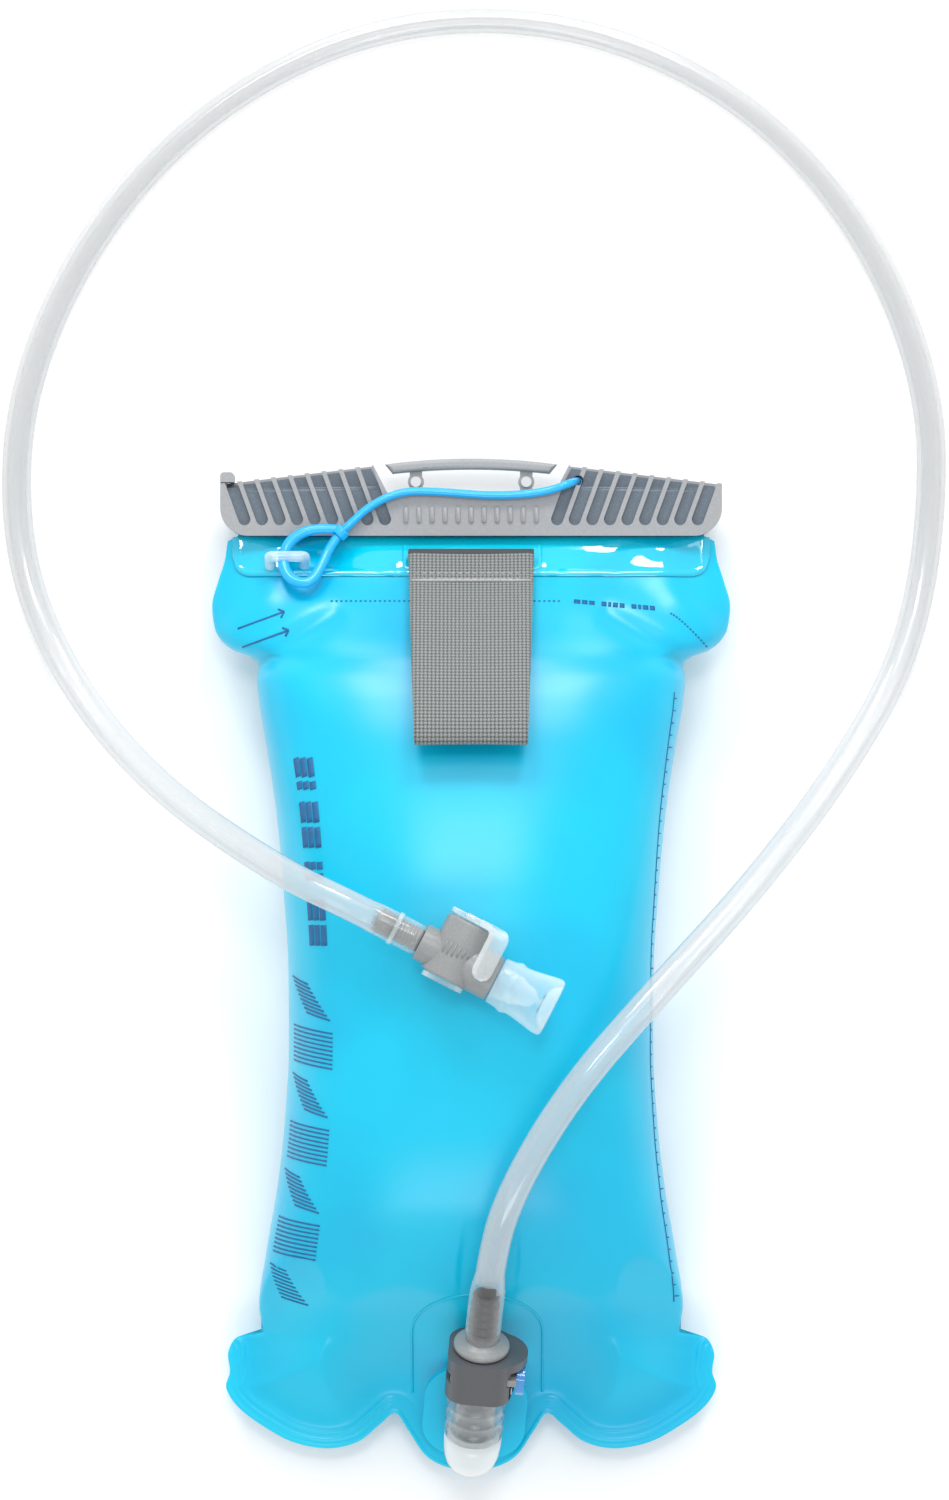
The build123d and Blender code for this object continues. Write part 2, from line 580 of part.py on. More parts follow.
def valve_body():
    """Grey tee of the shut-off: inlet neck, cross barrel, outlet neck and nozzle."""
    end = SLEEVE_START - 0.2
    necks = turned([
        (0, 0.2), (5.9, 0.2), (5.9, 8.0), (7.3, 15.0), (7.3, end), (5.0, end), (5.0, end + 7.8),
        (0, end + 7.8),
    ])
    length = BARREL_HIGH - BARREL_LOW
    across = Pos((BARREL_HIGH + BARREL_LOW) / 2, 0, BARREL_MID) * Rot(0, 90, 0)
    barrel = across * Cylinder(BARREL_R, length)
    bore = across * Cylinder(SPINDLE_R + 0.08, length + 2)
    flow = Pos(0, 0, 18) * Cylinder(FLOW_R, 40)
    return at(valve_plane(), necks + barrel - bore - flow)


def bite_sleeve():
    """Soft bite valve over the nozzle: a skirt, a ridge and a mouthpiece with a dished, slit end."""
    skin = turned([
        (5.1, 0.0), (7.5, 0.0), (7.8, 4.6), (8.6, 5.2), (8.5, 6.6), (7.9, 7.4), (8.4, 12.0), (9.3, 18.4),
        (9.2, 19.8), (8.4, 20.3), (6.6, 19.6), (5.8, 16.4), (0, 16.0), (0, 13.4), (3.2, 13.2),
        (3.2, 9.0), (5.1, 8.2),
    ])
    slit = Pos(0, 0, 15) * Box(6.0, 0.4, 8)
    return at(valve_plane(), Pos(0, 0, SLEEVE_START) * (skin - slit))


def spindle_place(shape):
    """Carries a shape made about Z to the shut-off barrel's axis, its Z towards the lever."""
    return at(valve_plane(), Pos(0, 0, BARREL_MID) * Rot(0, 90, 0) * shape)


def shutoff_spindle():
    """Clear plug of the shut-off, cross-bored, with a retaining rim at its lower end."""
    length = BARREL_HIGH - BARREL_LOW + 0.8
    body = Pos(0, 0, BARREL_LOW - 0.3) * Cylinder(
        SPINDLE_R, length, align=(Align.CENTER, Align.CENTER, Align.MIN)
    )
    foot = Pos(0, 0, BARREL_LOW - 1.9) * Cylinder(7.0, 1.6, align=(Align.CENTER, Align.CENTER, Align.MIN))
    groove = Cylinder(SPINDLE_R + 1, 1.1) - Cylinder(SPINDLE_R - 0.9, 1.1)
    for height in RING_GROOVES:
        body -= Pos(0, 0, height) * groove
    flow = Rot(0, 90, 0) * Cylinder(FLOW_R, 30)
    return spindle_place(body + foot - flow)


def spindle_rings():
    """Sealing rings of the spindle."""
    return [spindle_place(Pos(0, 0, height) * Torus(SPINDLE_R - 0.42, 0.45)) for height in RING_GROOVES]


def shutoff_lever():
    """Clear thumb lever: a cap on the spindle, an arm and a paddle bent back over the barrel."""
    cap_low = BARREL_HIGH + 0.5
    thick, width, length = 1.8, 6.4, 17.0
    cap = Pos(0, 0, cap_low) * Cylinder(CAP_R, thick, align=(Align.CENTER, Align.CENTER, Align.MIN))
    arm = Pos(LEVER_REACH / 2, 0, cap_low + thick / 2) * Box(LEVER_REACH, width, thick)
    paddle = Pos(LEVER_REACH - thick / 2, 0, cap_low + thick - length / 2) * Box(thick, width, length)
    paddle = fillet(paddle.edges().filter_by(Axis.X).group_by(Axis.Z)[0], 3.0)
    # The spindle's own X runs back towards the tube, so the open lever is turned round to lean forward.
    return spindle_place(Rot(0, 0, 180 - LEVER_ANGLE) * (cap + arm + paddle))


def main():
    """Builds every node and writes its STEP file."""
    os.makedirs("parts", exist_ok=True)
    save("bag_body", bag_body())
    save("gloss_band", gloss_band())
    save("strap_patch", strap_patch())
    save("hang_strap", hang_strap())
    save("tether_eyelet", tether_eyelet())
    save("tether_loop", tether_loop())
    save("slider_back", slider_back())
    save("slider_core", slider_core())
    save("slider_front", slider_front())
    save("carry_grip", carry_grip())
    save("grip_pins", *grip_pins())
    save("tether", tether())
    save("tether_stopper", tether_stopper())
    save("port_base", port_base())
    save("port_socket", port_socket())
    save("latch_housing", latch_housing())
    save("latch_plate", latch_plate())
    save("latch_button", latch_button())
    save("latch_spring", latch_spring())
    save("port_poppet", port_poppet())
    save("poppet_spring", poppet_spring())
    save("plug_stem", plug_stem())
    save("plug_o_rings", *plug_o_rings())
    save("drink_tube", drink_tube())
    save("valve_barb", valve_barb())
    save("tube_ring", tube_ring())
    save("valve_body", valve_body())
    save("bite_sleeve", bite_sleeve())
    save("shutoff_spindle", shutoff_spindle())
    save("spindle_rings", *spindle_rings())
    save("shutoff_lever", shutoff_lever())


main()
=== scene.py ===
"""Looks of a hydration bladder that lies on its back, with its drinking tube looped above it.

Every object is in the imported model's frame: +Z up from the surface, +Y towards the slide closure.
Sizes are in millimetres and become metres where a mesh, curve or frame call is made.
"""
import json
import logging
import math
from dataclasses import dataclass
from enum import Enum
from typing import Callable, Sequence

import bmesh
import bpy
import numpy as np
from mathutils import Matrix, Vector


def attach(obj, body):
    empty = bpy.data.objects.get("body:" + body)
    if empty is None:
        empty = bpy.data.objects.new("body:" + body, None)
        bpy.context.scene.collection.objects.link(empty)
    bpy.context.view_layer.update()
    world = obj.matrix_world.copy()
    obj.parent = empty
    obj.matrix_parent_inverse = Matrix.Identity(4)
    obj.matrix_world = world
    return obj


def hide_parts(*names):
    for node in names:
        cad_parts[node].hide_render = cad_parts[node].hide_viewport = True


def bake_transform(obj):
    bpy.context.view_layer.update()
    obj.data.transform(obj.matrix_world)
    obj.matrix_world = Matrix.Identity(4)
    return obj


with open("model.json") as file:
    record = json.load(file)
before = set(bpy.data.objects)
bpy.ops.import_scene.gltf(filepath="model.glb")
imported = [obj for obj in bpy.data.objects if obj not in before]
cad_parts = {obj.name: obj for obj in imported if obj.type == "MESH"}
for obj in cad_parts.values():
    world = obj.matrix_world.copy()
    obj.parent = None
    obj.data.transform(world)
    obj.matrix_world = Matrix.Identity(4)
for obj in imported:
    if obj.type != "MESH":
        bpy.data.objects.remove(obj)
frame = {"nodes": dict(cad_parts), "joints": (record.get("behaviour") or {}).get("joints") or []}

LOG = logging.getLogger("bladder")
MM = 0.001
Route = tuple[tuple[float, float, float], ...]
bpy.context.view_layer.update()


# ---------------------------------------------------------------- colour and shader helpers
def linear(hex_colour: str, alpha: float = 1.0) -> tuple[float, float, float, float]:
    """Turns an sRGB hex colour into linear light.

    Args:
        hex_colour: six hex digits, with or without a leading hash.
        alpha: the opacity to carry along.

    Returns:
        Linear red, green and blue, and the opacity.
    """
    digits = hex_colour.lstrip("#")
    parts = [int(digits[i:i + 2], 16) / 255 for i in (0, 2, 4)]
    light = [c / 12.92 if c <= 0.04045 else ((c + 0.055) / 1.055) ** 2.4 for c in parts]
    return (light[0], light[1], light[2], alpha)


def per_metre(size_mm: float) -> float:
    """Texture scale that gives a pattern a feature of this size."""
    return 1.0 / (size_mm * MM)


def add_node(
    tree: bpy.types.NodeTree, kind: str, settings: dict | None = None, links: dict | None = None
) -> bpy.types.Node:
    """Adds a shader node with its settings and its incoming links.

    Args:
        tree: the material's node tree.
        kind: the node's type name.
        settings: property or input name, or input number, to value.
        links: input name or number to a (node, output name or number) pair.

    Returns:
        The new node.
    """
    node = tree.nodes.new(kind)
    for key, value in (settings or {}).items():
        if isinstance(key, int) or key in node.inputs:
            node.inputs[key].default_value = value
        else:
            setattr(node, key, value)
    for key, (source, output) in (links or {}).items():
        tree.links.new(source.outputs[output], node.inputs[key])
    return node


class Coordinates(Enum):
    """Which coordinates a pattern follows."""

    OBJECT = "Object"
    UV = "UV"


@dataclass(frozen=True)
class Finish:
    """A surface finish: what the material is, and the Principled values that every finish shares."""

    name: str
    colour: str
    roughness: float = 0.5
    ior: float = 1.5
    coat: float = 0.0
    alpha: float = 1.0

    def material(self) -> bpy.types.Material:
        """Returns the finish's material, made the first time that it is asked for."""
        found = bpy.data.materials.get(self.name)
        if found:
            return found
        material = bpy.data.materials.new(self.name)
        material.use_nodes = True
        tree = material.node_tree
        tree.nodes.clear()
        shader = add_node(tree, "ShaderNodeBsdfPrincipled", {
            "Base Color": linear(self.colour), "Roughness": self.roughness, "IOR": self.ior,
            "Coat Weight": self.coat, "Alpha": self.alpha,
        })
        add_node(tree, "ShaderNodeOutputMaterial", links={"Surface": (shader, "BSDF")})
        self.dress(tree, shader)
        return material

    def dress(self, tree: bpy.types.NodeTree, shader: bpy.types.Node) -> None:
        """Adds the finish's own pattern; a plain finish has none."""

    def pattern_space(self, tree: bpy.types.NodeTree, space: Coordinates = Coordinates.OBJECT) -> tuple:
        """Returns the (node, output) pair of the coordinates that a pattern follows."""
        return (add_node(tree, "ShaderNodeTexCoord"), space.value)

    def blend_colours(self, tree: bpy.types.NodeTree, factor: tuple, low: object,
                      high: object) -> bpy.types.Node:
        """Mixes two colours, or a colour over another node's colour.

        Args:
            tree: the material's node tree.
            factor: the (node, output) pair that mixes them.
            low: hex colour or (node, output) pair where the factor is 0.
            high: hex colour or (node, output) pair where the factor is 1.

        Returns:
            The mix node, whose colour is its output 2.
        """
        settings, links = {"data_type": "RGBA"}, {0: factor}
        for index, value in ((6, low), (7, high)):
            if isinstance(value, str):
                settings[index] = linear(value)
            else:
                links[index] = value
        return add_node(tree, "ShaderNodeMix", settings, links)


@dataclass(frozen=True)
class WeldedFilm(Finish):
    """Thermoplastic polyurethane film, calendered and frosted: saturated aqua that glows where light
    passes through it, with a soft satin gloss and a faint orange-peel surface."""

    deep: str = "#00b0da"
    peel_mm: float = 1.6
    peel_depth_mm: float = 0.12
    cloud_mm: float = 60.0
    scatter_mm: float = 5.0

    def dress(self, tree: bpy.types.NodeTree, shader: bpy.types.Node) -> None:
        """Adds thickness clouds, the orange peel and the glow of light scattered in the film."""
        space = self.pattern_space(tree)
        cloud = add_node(tree, "ShaderNodeTexNoise", {"Scale": per_metre(self.cloud_mm), "Detail": 2.0},
                         {"Vector": space})
        spread = add_node(tree, "ShaderNodeMapRange", {"From Min": 0.42, "From Max": 0.72},
                          {"Value": (cloud, 0)})
        tint = self.blend_colours(tree, (spread, 0), self.colour, self.deep)
        tree.links.new(tint.outputs[2], shader.inputs["Base Color"])
        peel = add_node(tree, "ShaderNodeTexNoise", {"Scale": per_metre(self.peel_mm), "Detail": 3.0},
                        {"Vector": space})
        bump = add_node(tree, "ShaderNodeBump", {"Strength": 0.12, "Distance": self.peel_depth_mm * MM},
                        {"Height": (peel, 0)})
        tree.links.new(bump.outputs[0], shader.inputs["Normal"])
        shader.inputs["Specular IOR Level"].default_value = 0.45
        shader.inputs["Subsurface Weight"].default_value = 0.2
        shader.inputs["Subsurface Scale"].default_value = self.scatter_mm * MM
        shader.inputs["Subsurface Radius"].default_value = (0.15, 0.8, 1.0)


@dataclass(frozen=True)
class ClearGloss(Finish):
    """Clear polymer with polished faces: see-through where it is looked at squarely, and denser towards its
    edges, as polished polycarbonate or soft clear vinyl is; there its colour also turns to a painted
    reflection."""

    edge_alpha: float = 0.9
    # colour painted at grazing angles in place of the reflection seen there
    painted_edge_reflection: str = "#ffffff"
    ripple_mm: float = 9.0
    ripple_depth_mm: float = 0.05

    def dress(self, tree: bpy.types.NodeTree, shader: bpy.types.Node) -> None:
        """Makes the edges denser, paints a reflection into their colour, and gives the polish a slight
        waviness.
        """
        edge = add_node(tree, "ShaderNodeLayerWeight", {"Blend": 0.35})
        density = add_node(tree, "ShaderNodeMapRange", {"To Min": self.alpha, "To Max": self.edge_alpha},
                           {"Value": (edge, "Facing")})
        tree.links.new(density.outputs[0], shader.inputs["Alpha"])
        # painted reflection: the base colour turns to the edge colour as the surface turns edge-on
        tint = self.blend_colours(tree, (edge, "Facing"), self.colour, self.painted_edge_reflection)
        tree.links.new(tint.outputs[2], shader.inputs["Base Color"])
        ripple = add_node(tree, "ShaderNodeTexNoise", {"Scale": per_metre(self.ripple_mm), "Detail": 1.0},
                          {"Vector": self.pattern_space(tree)})
        bump = add_node(tree, "ShaderNodeBump", {"Strength": 0.5, "Distance": self.ripple_depth_mm * MM},
                        {"Height": (ripple, 0)})
        tree.links.new(bump.outputs[0], shader.inputs["Normal"])
        shader.inputs["Specular IOR Level"].default_value = 0.0
        skin = add_node(tree, "ShaderNodeBsdfAnisotropic", {"Roughness": self.roughness},
                        {"Normal": (bump, 0)})
        facing = add_node(tree, "ShaderNodeLayerWeight", {"Blend": 0.5}, {"Normal": (bump, 0)})
        slope = add_node(tree, "ShaderNodeMath", {"operation": "POWER", 1: 5.0}, {0: (facing, "Facing")})
        square_on = (1 + self.coat) * ((self.ior - 1) / (self.ior + 1)) ** 2
        strong = add_node(tree, "ShaderNodeMath",
                          {"operation": "MULTIPLY_ADD", 1: 1 - square_on, 2: square_on},
                          {0: (slope, 0)})
        skinned = add_node(tree, "ShaderNodeMixShader", links={0: (strong, 0), 1: (shader, 0), 2: (skin, 0)})
        output = next(node for node in tree.nodes if node.type == "OUTPUT_MATERIAL")
        tree.links.new(skinned.outputs[0], output.inputs["Surface"])


@dataclass(frozen=True)
class MouldedPlastic(Finish):
    """Injection-moulded engineering plastic with a spark-eroded mould texture: an even satin body with
    fine grain, slightly worn."""

    fleck: str = "#c2c7ca"
    grain_mm: float = 0.7
    grain_depth_mm: float = 0.06

    def dress(self, tree: bpy.types.NodeTree, shader: bpy.types.Node) -> None:
        """Adds the mould grain, its flecks and a slow variation of the gloss."""
        space = self.pattern_space(tree)
        grain = add_node(tree, "ShaderNodeTexNoise", {"Scale": per_metre(self.grain_mm), "Detail": 3.0,
                                                      "Roughness": 0.7}, {"Vector": space})
        fleck = add_node(tree, "ShaderNodeMapRange", {"From Min": 0.48, "From Max": 0.75, "To Max": 0.55},
                         {"Value": (grain, 0)})
        tint = self.blend_colours(tree, (fleck, 0), self.colour, self.fleck)
        tree.links.new(tint.outputs[2], shader.inputs["Base Color"])
        rub = add_node(tree, "ShaderNodeTexNoise", {"Scale": per_metre(18.0), "Detail": 2.0},
                       {"Vector": space})
        gloss = add_node(tree, "ShaderNodeMapRange",
                         {"To Min": self.roughness - 0.08, "To Max": self.roughness + 0.1},
                         {"Value": (rub, 0)})
        tree.links.new(gloss.outputs[0], shader.inputs["Roughness"])
        bump = add_node(tree, "ShaderNodeBump", {"Strength": 0.6, "Distance": self.grain_depth_mm * MM},
                        {"Height": (grain, 0)})
        tree.links.new(bump.outputs[0], shader.inputs["Normal"])


@dataclass(frozen=True)
class WovenWebbing(Finish):
    """Narrow polyester webbing, plain woven: thick round yarns with a soft sheen, darkened with painted shade
    where they dip between each other. Its real yarns lie 0.7 mm apart; they are drawn coarser so that they
    show."""

    yarn_mm: float = 1.25
    painted_gap_shade: str = "#34383a"
    crown: str = "#8f9493"

    def dress(self, tree: bpy.types.NodeTree, shader: bpy.types.Node) -> None:
        """Weaves warp over weft as two crossed rows of round yarns that take turns on top, with painted shade
        in the dips.
        """
        uv = self.pattern_space(tree, Coordinates.UV)
        split = add_node(tree, "ShaderNodeSeparateXYZ", links={0: uv})
        waves = []
        for axis in (0, 1):
            turn = add_node(tree, "ShaderNodeMath", {"operation": "MULTIPLY", 1: math.pi / self.yarn_mm},
                            {0: (split, axis)})
            waves.append(add_node(tree, "ShaderNodeMath", {"operation": "SINE"}, {0: (turn, 0)}))
        cross = add_node(tree, "ShaderNodeMath", {"operation": "MULTIPLY"},
                         {0: (waves[0], 0), 1: (waves[1], 0)})
        over = add_node(tree, "ShaderNodeMapRange", {"From Min": -0.9, "From Max": 0.9},
                        {"Value": (cross, 0)})
        rounds = []
        for wave in waves:
            rounds.append(add_node(tree, "ShaderNodeMath", {"operation": "ABSOLUTE"}, {0: (wave, 0)}))
        yarn = add_node(tree, "ShaderNodeMix", {"data_type": "FLOAT"},
                        {0: (over, 0), 2: (rounds[0], 0), 3: (rounds[1], 0)})
        fuzz = add_node(tree, "ShaderNodeTexNoise", {"Scale": 2.4, "Detail": 2.0}, {"Vector": uv})
        height = add_node(tree, "ShaderNodeMath", {"operation": "MULTIPLY_ADD", 1: 0.35},
                          {0: (fuzz, 0), 2: (yarn, 0)})
        # Painted shade: the colour darkens from the yarn grey on the crowns to the shade colour where the
        # yarns dip.
        gap_shade_factor = add_node(tree, "ShaderNodeMapRange", {"From Min": 0.35, "From Max": 1.2},
                        {"Value": (height, 0)})
        tint = self.blend_colours(tree, (gap_shade_factor, 0), self.painted_gap_shade, self.crown)
        tree.links.new(tint.outputs[2], shader.inputs["Base Color"])
        bump = add_node(tree, "ShaderNodeBump", {"Strength": 0.9, "Distance": 0.3 * MM},
                        {"Height": (height, 0)})
        tree.links.new(bump.outputs[0], shader.inputs["Normal"])
        shader.inputs["Sheen Weight"].default_value = 0.25


@dataclass(frozen=True)
class MilkySilicone(Finish):
    """Cast silicone rubber: milky and soft, with light bleeding through it and a dull skin."""

    scatter_mm: float = 6.0

    def dress(self, tree: bpy.types.NodeTree, shader: bpy.types.Node) -> None:
        """Lets light bleed through the body and adds the dusty skin."""
        space = self.pattern_space(tree)
        dust = add_node(tree, "ShaderNodeTexNoise", {"Scale": per_metre(6.0), "Detail": 3.0},
                        {"Vector": space})
        tint = self.blend_colours(tree, (dust, 0), self.colour, "#ffffff")
        tree.links.new(tint.outputs[2], shader.inputs["Base Color"])
        edge = add_node(tree, "ShaderNodeLayerWeight", {"Blend": 0.4})
        density = add_node(tree, "ShaderNodeMapRange", {"To Min": self.alpha, "To Max": 0.8},
                           {"Value": (edge, "Facing")})
        tree.links.new(density.outputs[0], shader.inputs["Alpha"])
        shader.inputs["Subsurface Weight"].default_value = 0.4
        shader.inputs["Subsurface Scale"].default_value = self.scatter_mm * MM
        shader.inputs["Subsurface Radius"].default_value = (0.6, 0.9, 1.0)


@dataclass(frozen=True)
class Steel(Finish):
    """Drawn stainless spring wire and strip: bright, with fine drawing lines."""

    def dress(self, tree: bpy.types.NodeTree, shader: bpy.types.Node) -> None:
        """Makes it metal with fine drawing lines."""
        shader.inputs["Metallic"].default_value = 1.0
        lines = add_node(tree, "ShaderNodeTexNoise", {"Scale": per_metre(0.5), "Detail": 2.0},
                         {"Vector": self.pattern_space(tree)})
        bump = add_node(tree, "ShaderNodeBump", {"Strength": 0.2, "Distance": 0.02 * MM},
                        {"Height": (lines, 0)})
        tree.links.new(bump.outputs[0], shader.inputs["Normal"])


FILM = WeldedFilm("polyurethane_film", "#00bfe2", roughness=0.3)
PATCH_FILM = WeldedFilm("polished_polyurethane_film", "#02cdee", roughness=0.06, coat=1.0, peel_depth_mm=0.0)
WEBBING = WovenWebbing("polyester_webbing", "#8d908d", roughness=0.62)
PALE_NYLON = MouldedPlastic("glass_filled_nylon_grey", "#97999c", roughness=0.4, fleck="#acaeb0",
                            grain_depth_mm=0.03)
SLATE_NYLON = MouldedPlastic("glass_filled_nylon_slate", "#5d6a76", roughness=0.34, fleck="#74828f",
                             grain_depth_mm=0.02)
# Lighter copy of the slate nylon: the channel's rounded top edge, its colour lightened as a painted
# highlight.
SLATE_LIP_HIGHLIGHT = MouldedPlastic("slate_lip_painted_highlight", "#7d8893", roughness=0.22, fleck="#8a95a0",
                           grain_depth_mm=0.0)
ACETAL = MouldedPlastic("acetal_grey", "#8b8e8f", roughness=0.34, fleck="#a1a3a3", grain_depth_mm=0.01)
# Painted shade: the acetal grey darkened for the latch housing, whose front lies in shade.
SHADED_ACETAL = MouldedPlastic("acetal_painted_shade", "#53565a", roughness=0.36, fleck="#5d6063",
                               grain_depth_mm=0.01)
DARK_ACETAL = MouldedPlastic("acetal_charcoal", "#262527", roughness=0.4, fleck="#2f2e30",
                             grain_depth_mm=0.01)
# The clear finishes' edge colours are painted reflection at grazing angles, lighter or darker than their
# body.
POLYCARBONATE = ClearGloss("clear_polycarbonate", "#f1fafc", roughness=0.06, ior=1.58, coat=0.6, alpha=0.13,
                           edge_alpha=0.92, ripple_depth_mm=0.01)
CLEAR_SOCKET = ClearGloss("clear_socket", "#e3ecef", roughness=0.12, ior=1.5, coat=0.2, alpha=0.04,
                          edge_alpha=0.5,
                          painted_edge_reflection="#c3d3da", ripple_depth_mm=0.01)
FROSTED_SOCKET = ClearGloss("frosted_polycarbonate", "#e9f1f3", roughness=0.25, ior=1.58, coat=0.3, alpha=0.7,
                            ripple_depth_mm=0.02)
FROSTED_LOOP = ClearGloss("frosted_loop", "#d6f3fa", roughness=0.14, ior=1.58, coat=0.5, alpha=0.35,
                          ripple_depth_mm=0.01)
BLUE_BUTTON = ClearGloss("tinted_polycarbonate", "#2f8fdf", roughness=0.1, ior=1.58, coat=0.6, alpha=0.8,
                         painted_edge_reflection="#9fd2ff")
CORD_RUBBER = MouldedPlastic("moulded_elastomer_blue", "#12aef2", roughness=0.3, fleck="#28b9f5",
                             grain_depth_mm=0.01, coat=0.3)
HOSE = ClearGloss("clear_polyurethane_tube", "#dfe1e2", roughness=0.12, ior=1.5, coat=0.4, alpha=0.26,
                  edge_alpha=0.75, painted_edge_reflection="#c9cccd", ripple_depth_mm=0.004)
SNUG_HOSE = ClearGloss("tube_over_barb", "#f4f8f9", roughness=0.1, ior=1.45, coat=0.0, alpha=0.02,
                       edge_alpha=0.55, painted_edge_reflection="#f4f6f6", ripple_depth_mm=0.02)
BORE = ClearGloss("tube_bore", "#d3d7d9", roughness=0.25, alpha=0.12, edge_alpha=0.4,
                  painted_edge_reflection="#c0c6c9", ripple_depth_mm=0.004)
SILICONE = MilkySilicone("milky_silicone", "#b9e6f5", roughness=0.2, ior=1.43, coat=0.6, alpha=0.22)
STEEL = Steel("stainless_spring_steel", "#c8cacc", roughness=0.28)
SEAL_RUBBER = MouldedPlastic("nitrile_rubber", "#2a2a2c", roughness=0.5, fleck="#38383a")
INK = MouldedPlastic("screen_ink_blue", "#0a5f96", roughness=0.5, fleck="#0d6ca5", grain_depth_mm=0.01)


# ---------------------------------------------------------------- mesh helpers
def make_object(name: str, verts: Sequence, faces: Sequence, finish: Finish) -> bpy.types.Object:
    """Makes a smooth-shaded mesh object from millimetre vertices.

    Args:
        name: the piece's name.
        verts: points in millimetres.
        faces: vertex numbers of each face.
        finish: the piece's finish.

    Returns:
        The new object, linked to the scene.
    """
    mesh = bpy.data.meshes.new(name)
    mesh.from_pydata([tuple(float(c) * MM for c in v) for v in verts], [], [tuple(f) for f in faces])
    mesh.validate()
    tidy = bmesh.new()
    tidy.from_mesh(mesh)
    bmesh.ops.remove_doubles(tidy, verts=tidy.verts, dist=1e-6)
    bmesh.ops.recalc_face_normals(tidy, faces=tidy.faces)
    tidy.to_mesh(mesh)
    tidy.free()
    mesh.polygons.foreach_set("use_smooth", [True] * len(mesh.polygons))
    mesh.materials.append(finish.material())
    piece = bpy.data.objects.new(name, mesh)
    bpy.context.scene.collection.objects.link(piece)
    return piece


def soften(piece: bpy.types.Object, width_mm: float, segments: int = 3,
           angle: float = 32.0) -> bpy.types.Object:
    """Rounds a piece's sharp edges, as a mould does, and keeps its flat faces flat."""
    bevel = piece.modifiers.new("mould_radius", "BEVEL")
    bevel.width = width_mm * MM
    bevel.segments = segments
    bevel.limit_method = "ANGLE"
    bevel.angle_limit = math.radians(angle)
    bevel.harden_normals = False
    normals = piece.modifiers.new("flat_faces", "WEIGHTED_NORMAL")
    normals.keep_sharp = True
    return piece


def grid_faces(rows: int, columns: int, wrap: bool) -> list[tuple[int, int, int, int]]:
    """Quads of a grid of points, row after row, closed across its columns if wrap is true."""
    faces = []
    for i in range(rows - 1):
        for j in range(columns if wrap else columns - 1):
            k = (j + 1) % columns
            faces.append((i * columns + j, i * columns + k, (i + 1) * columns + k, (i + 1) * columns + j))
    return faces


def axis_place(origin: Vector, axis: Vector, across: Vector) -> Matrix:
    """Matrix that carries local Z to an axis and local X to a direction across it, in millimetres."""
    up = axis.cross(across)
    place = Matrix((across, up, axis)).transposed().to_4x4()
    place.translation = origin
    return place


def carried(place: Matrix, points: Sequence) -> list[Vector]:
    """Points moved by a placing matrix."""
    return [place @ Vector(p) for p in points]


def lathe(name: str, profile: Sequence, place: Matrix, finish: Finish, steps: int = 64,
          oval: Callable[[float], tuple[float, float]] | None = None) -> bpy.types.Object:
    """Turns a closed profile of (radius, height) points about local Z.

    Args:
        name: the piece's name.
        profile: closed outline, radius and height in millimetres.
        place: matrix that carries the piece to where it belongs.
        finish: the piece's finish.
        steps: how many columns the turned surface has.
        oval: gives the stretch along local X and Y at a height, for a piece that isn't round.

    Returns:
        The turned object.
    """
    verts = []
    for radius, height in profile:
        wide, deep = oval(height) if oval else (1.0, 1.0)
        for i in range(steps):
            turn = math.tau * i / steps
            verts.append((radius * wide * math.cos(turn), radius * deep * math.sin(turn), height))
    faces = grid_faces(len(profile), steps, True)
    last, first = (len(profile) - 1) * steps, 0
    for i in range(steps):
        faces.append((last + i, last + (i + 1) % steps, first + (i + 1) % steps, first + i))
    return make_object(name, carried(place, verts), faces, finish)


def rounded(profile: Sequence, radius: float, steps: int = 4) -> list[tuple[float, float]]:
    """Rounds the corners of a closed profile.

    Args:
        profile: corner points.
        radius: the largest rounding; short sides get less.
        steps: how many points each rounded corner has after its first.

    Returns:
        The rounded outline's points.
    """
    points = [Vector(p) for p in profile]
    result = []
    for i, corner in enumerate(points):
        before, after = points[i - 1] - corner, points[(i + 1) % len(points)] - corner
        if before.length < 1e-6 or after.length < 1e-6:
            continue
        cut = min(radius, 0.45 * before.length, 0.45 * after.length)
        start, end = corner + before.normalized() * cut, corner + after.normalized() * cut
        for k in range(steps + 1):
            t = k / steps
            point = start * (1 - t) ** 2 + corner * 2 * t * (1 - t) + end * t ** 2
            result.append((point.x, point.y))
    return result


def prism(name: str, outline: Sequence, low: float, high: float, place: Matrix, finish: Finish,
          edge: float = 0.6) -> bpy.types.Object:
    """Raises an outline into a plate with rounded rims.

    Args:
        name: the piece's name.
        outline: closed (x, y) points, the way round that a clock doesn't go.
        low: height of the plate's underside.
        high: height of its top.
        place: matrix that carries the piece to where it belongs.
        finish: the piece's finish.
        edge: how far its rims are rounded.

    Returns:
        The plate.
    """
    count = len(outline)
    middle = sum((Vector(p) for p in outline), Vector((0, 0))) / count
    quarter = [math.pi / 2 * k / 4 for k in range(5)]
    rings = [(edge * (1 - math.sin(a)), low + edge * (1 - math.cos(a))) for a in quarter]
    rings += [(edge * (1 - math.cos(a)), high - edge * (1 - math.sin(a))) for a in quarter]
    normals = []
    for i in range(count):
        run = Vector(outline[(i + 1) % count]) - Vector(outline[i - 1])
        normals.append(Vector((-run.y, run.x)).normalized() if run.length else Vector((0, 0)))
    verts = []
    for inset, height in rings:
        for point, normal in zip(outline, normals):
            inner = Vector(point) + normal * inset
            verts.append((inner.x, inner.y, height))
    faces = grid_faces(len(rings), count, True)
    for ring, height in ((0, low), (len(rings) - 1, high)):
        centre = len(verts)
        verts.append((middle.x, middle.y, height))
        faces += [(centre, ring * count + i, ring * count + (i + 1) % count) for i in range(count)]
    return make_object(name, carried(place, verts), faces, finish)


